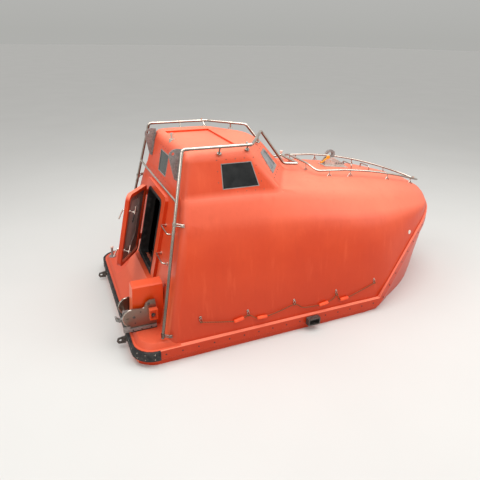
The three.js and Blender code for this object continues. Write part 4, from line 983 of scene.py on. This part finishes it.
makeLifelines()
print("lifelines strung")

lifting = {
    "plateY": -0.552, "padHeight": seam + 1.745, "padProud": 8.3 * mm, "boltMm": 8,
    "padBolts": [(23, 110), (22, 30), (20, -50), (17, -130)],
}


def makePlateBolts():
    for side, flip in bothSides:
        bolts = bmesh.new()
        for across, up in lifting["padBolts"]:
            for y in (-across, across):
                spot = onWall(y * mm + lifting["plateY"], lifting["padHeight"], lifting["padProud"])
                boltInto(bolts, flip(spot + wallUp * up * mm), flip(wallOut), lifting["boltMm"], up)
        finishPiece(f"lifting_plate_bolts_{side}", bolts, "zincDark", 30)


makePlateBolts()
print("lifting plates bolted")

sternHook = {
    "deck": 0.22, "cheeks": (-0.845, -0.595), "rim": 9 * mm, "rimInset": 7 * mm,
    "head": [(-2.318, 0.02), (-2.34, 0.06), (-2.378, 0.1), (-2.392, 0.16), (-2.378, 0.212), (-2.34, 0.248),
             (-2.285, 0.263), (-2.165, 0.254), (-2.145, 0.312), (-2.105, 0.338), (-2.05, 0.338)],
    # lowest and highest corner of the angle under the cheek and of its upright tab
    "blocks": [((-2.318, -0.866, 0.0005), (-2.042, -0.853, 0.046)),
               ((-2.388, -0.866, 0.0105), (-2.316, -0.858, 0.078))],
    # x, y, height above the deck and size of the bolts
    "bolts": [(-2.29, -0.866, 0.024, 9), (-2.2, -0.866, 0.024, 9), (-2.1, -0.866, 0.024, 9),
              (-2.27, -0.852, 0.165, 16), (-2.262, -0.852, 0.095, 9), (-2.115, -0.852, 0.292, 18),
              (-2.2, -0.852, 0.215, 8)],
    "nut": ((-2.08, -0.89, 0.176), 26, 0.2),
    # middle, half width and height, wall, depth and recess of the release box
    "box": ((-2.076, -0.912, 0.188), 0.042, 0.059, 13 * mm, 0.059, 9 * mm, 22 * mm),
}


# Adds a block between two corners with its edges rounded
def blockInto(shape, low, high, width):
    corners = [[shape.verts.new((x, y, z)) for x, y in
                ((low[0], low[1]), (high[0], low[1]), (high[0], high[1]), (low[0], high[1]))]
               for z in (low[2], high[2])]
    edges = [edge for face in skinInto(shape, corners) for edge in face.edges]
    soften(shape, width, list(dict.fromkeys(edges)))


def makeSternHook():
    lift = upward * sternHook["deck"]
    rims, foot, bolts, box = bmesh.new(), bmesh.new(), bmesh.new(), bmesh.new()
    inner = grownOutline(sternHook["head"] + [(-2.05, 0.02)], -sternHook["rimInset"])[:-1]
    for y in sternHook["cheeks"]:
        line = rounded([Vector((p.x, y, p.y)) + lift for p in inner], 0.03, 4)
        tubeInto(rims, line, lambda t: sternHook["rim"] * (1.0 if t < 0.6 else 0.72), 12)
    finishPiece("stern_hook_rims", rims, "steel", 50)
    for low, high in sternHook["blocks"]:
        blockInto(foot, Vector(low) + lift, Vector(high) + lift, 2 * mm)
    finishPiece("stern_hook_angle", foot, "zinc", 30)
    for x, y, z, across in sternHook["bolts"]:
        boltInto(bolts, Vector((x, y, z)) + lift, -portward, across, x)
    at, across, turn = sternHook["nut"]
    boltInto(bolts, Vector(at) + lift, -portward, across, turn)
    finishPiece("stern_hook_bolts", bolts, "zincDark", 30)
    middle, a, b, wall, deep, inset, recess = sternHook["box"]
    at, outline = Vector(middle) + lift, [(-a, -b), (a, -b), (a, b), (-a, b)]
    stripInto(box, at, forward, upward, -portward, outline, -wall, 0, -deep, 0)
    lid = grownOutline(outline, -inset)
    skinInto(box, [[box.verts.new(at + forward * p.x + upward * p.y - portward * depth) for p in lid]
                   for depth in (1 * mm - deep, -recess)])
    soften(box, 2.5 * mm)
    finishPiece("stern_release_box_cover", box, "gelcoatDeck", 32, ("stern_release_box",))


makeSternHook()
print("stern hook built")

bowHook = {
    "deck": [(0.4, 1.573), (0.77, 1.534)], "lever": 11 * mm, "baseBolts": [0.585, 0.625, 0.665, 0.705],
    "leverLine": [(0.336, -0.075, 0.014), (0.362, -0.075, 0.018), (0.44, -0.075, 0.082)],
    "leverEye": (0.447, -0.063, 0.088),
}


# A place above the foredeck's middle line, near the hook
def onDeck(x, y, z):
    (xa, za), (xb, zb) = bowHook["deck"]
    return Vector((x, y, za + (zb - za) * (x - xa) / (xb - xa) + z))


def makeBowHook():
    bolts, lever = bmesh.new(), bmesh.new()
    for x in bowHook["baseBolts"]:
        for y in (-0.068, 0.068):
            boltInto(bolts, onDeck(x, y, 0.009), (0.105, 0, 1), 13, x)
    finishPiece("bow_hook_bolts", bolts, "dark", 30)
    tubeInto(lever, rounded([onDeck(*p) for p in bowHook["leverLine"]], 0.02), bowHook["lever"])
    turnedInto(lever, onDeck(*bowHook["leverEye"]), -portward, [(20, 0), (23, 5), (23, 19), (20, 24)], 24)
    finishPiece("bow_hook_lever", lever, "yellow", 50)


makeBowHook()
print("bow hook built")

fittings = {
    "bitt": (-2.226, 0.946, 0.22),
    "post": [(45, 0.4), (45, 7), (42, 9), (17, 10), (15, 14), (15, 138)],
    "cap": [(22, 136), (25, 138), (25, 150), (20, 155)],
    "wallBolts": [(-0.525, 0.266), (-0.751, 0.638)], "disc": (1.184, 0.8405),
    "clampNuts": [(2.028, 0.0, 1.2), (-1.0, -0.7175, 2.074), (-1.0, 0.7175, 2.074)],
}


def makeFittings():
    post, cap, small, discs, knobs = (bmesh.new() for _ in range(5))
    turnedInto(post, fittings["bitt"], upward, fittings["post"], 24)
    turnedInto(cap, fittings["bitt"], upward, fittings["cap"], 24)
    finishPiece("mooring_bitt_post", post, "greyFrame", 32, ("mooring_bitt",))
    finishPiece("mooring_bitt_cap", cap, "white", 32)
    x, z = fittings["disc"]
    _, place, normal, _ = bpy.data.objects["canopy_shell"].ray_cast(Vector((x, -3.0, z)), portward)
    for _, flip in bothSides:
        for y, z in fittings["wallBolts"]:
            boltInto(small, flip(onWall(y, z)), flip(wallOut), 13, z)
        turnedInto(discs, flip(place), flip(normal), [(26, -4), (26, 4), (21, 6)], 24)
    finishPiece("aft_wall_bolts", small, "zincDark", 30)
    finishPiece("bow_side_discs", discs, "white", 32)
    for point in fittings["clampNuts"]:
        turnedInto(knobs, point, upward, [(13, 0), (14, 3), (14, 16), (9, 20)], 16)
    finishPiece("rail_clamp_nuts", knobs, "brushed", 40)


makeFittings()
print("fittings made")

# Nodes that keep their CAD shape: end of the piece's name, finish, soft angle, rounded edge in mm
dressed = {
    "hull keel_skeg skeg_heel": ("shell", "gelcoat", 28, 0),
    "aft_platform": ("shell", "gelcoatDeck", 28, 7),
    "stern_fender": ("skin", "rubber", 35, 0),
    "door_gasket": ("skin", "rubber", 40, 0),
    "door_leaf": ("skin", "gelcoat", 30, 2.5),
    "door_liner": ("skin", "brownMoulding", 30, 1.2),
    "door_pane": ("skin", "glassDoor", 30, 1.2),
    "grab_rung_upper grab_rung_lower foredeck_rung_aft foredeck_rung_fore": ("bar", "steel", 50, 0),
    "lifting_plate_starboard lifting_plate_port": ("steel", "zinc", 32, 2.5),
    "stern_hook_frame": ("steel", "soiled", 32, 1.5),
    "stern_hook": ("casting", "zinc", 32, 3),
    "bow_hook_frame": ("steel", "zincNew", 32, 2),
    "bow_hook": ("casting", "greyFrame", 32, 6, "galvanised"),
    "towing_lug_starboard towing_lug_port side_bracket_starboard side_bracket_port":
        ("steel", "zincDark", 32, 2),
    "roof_light": ("post", "brushed", 40, 2),
    "foredeck_vent": ("post", "white", 40, 2),
    "steering_nozzle": ("skin", "gelcoat", 32, 0),
    "propeller": ("casting", "bronze", 32, 0),
    "propeller_shaft": ("bar", "steel", 50, 0),
    "engine": ("cover", "greyMoulding", 32, 12),
    "seat_bank_starboard seat_bank_port helm_seat": ("moulding", "greyMoulding", 32, 12),
    "helm_console": ("moulding", "greyMoulding", 32, 8),
}
for nodes, (ending, *how) in dressed.items():
    for node in nodes.split():
        dress(f"{node}_{ending}", node, *how)
for side, _ in bothSides:
    dress(f"flange_band_skin_{side}", f"flange_band_{side}", "gelcoat", 35)
print("shells, castings and mouldings dressed")
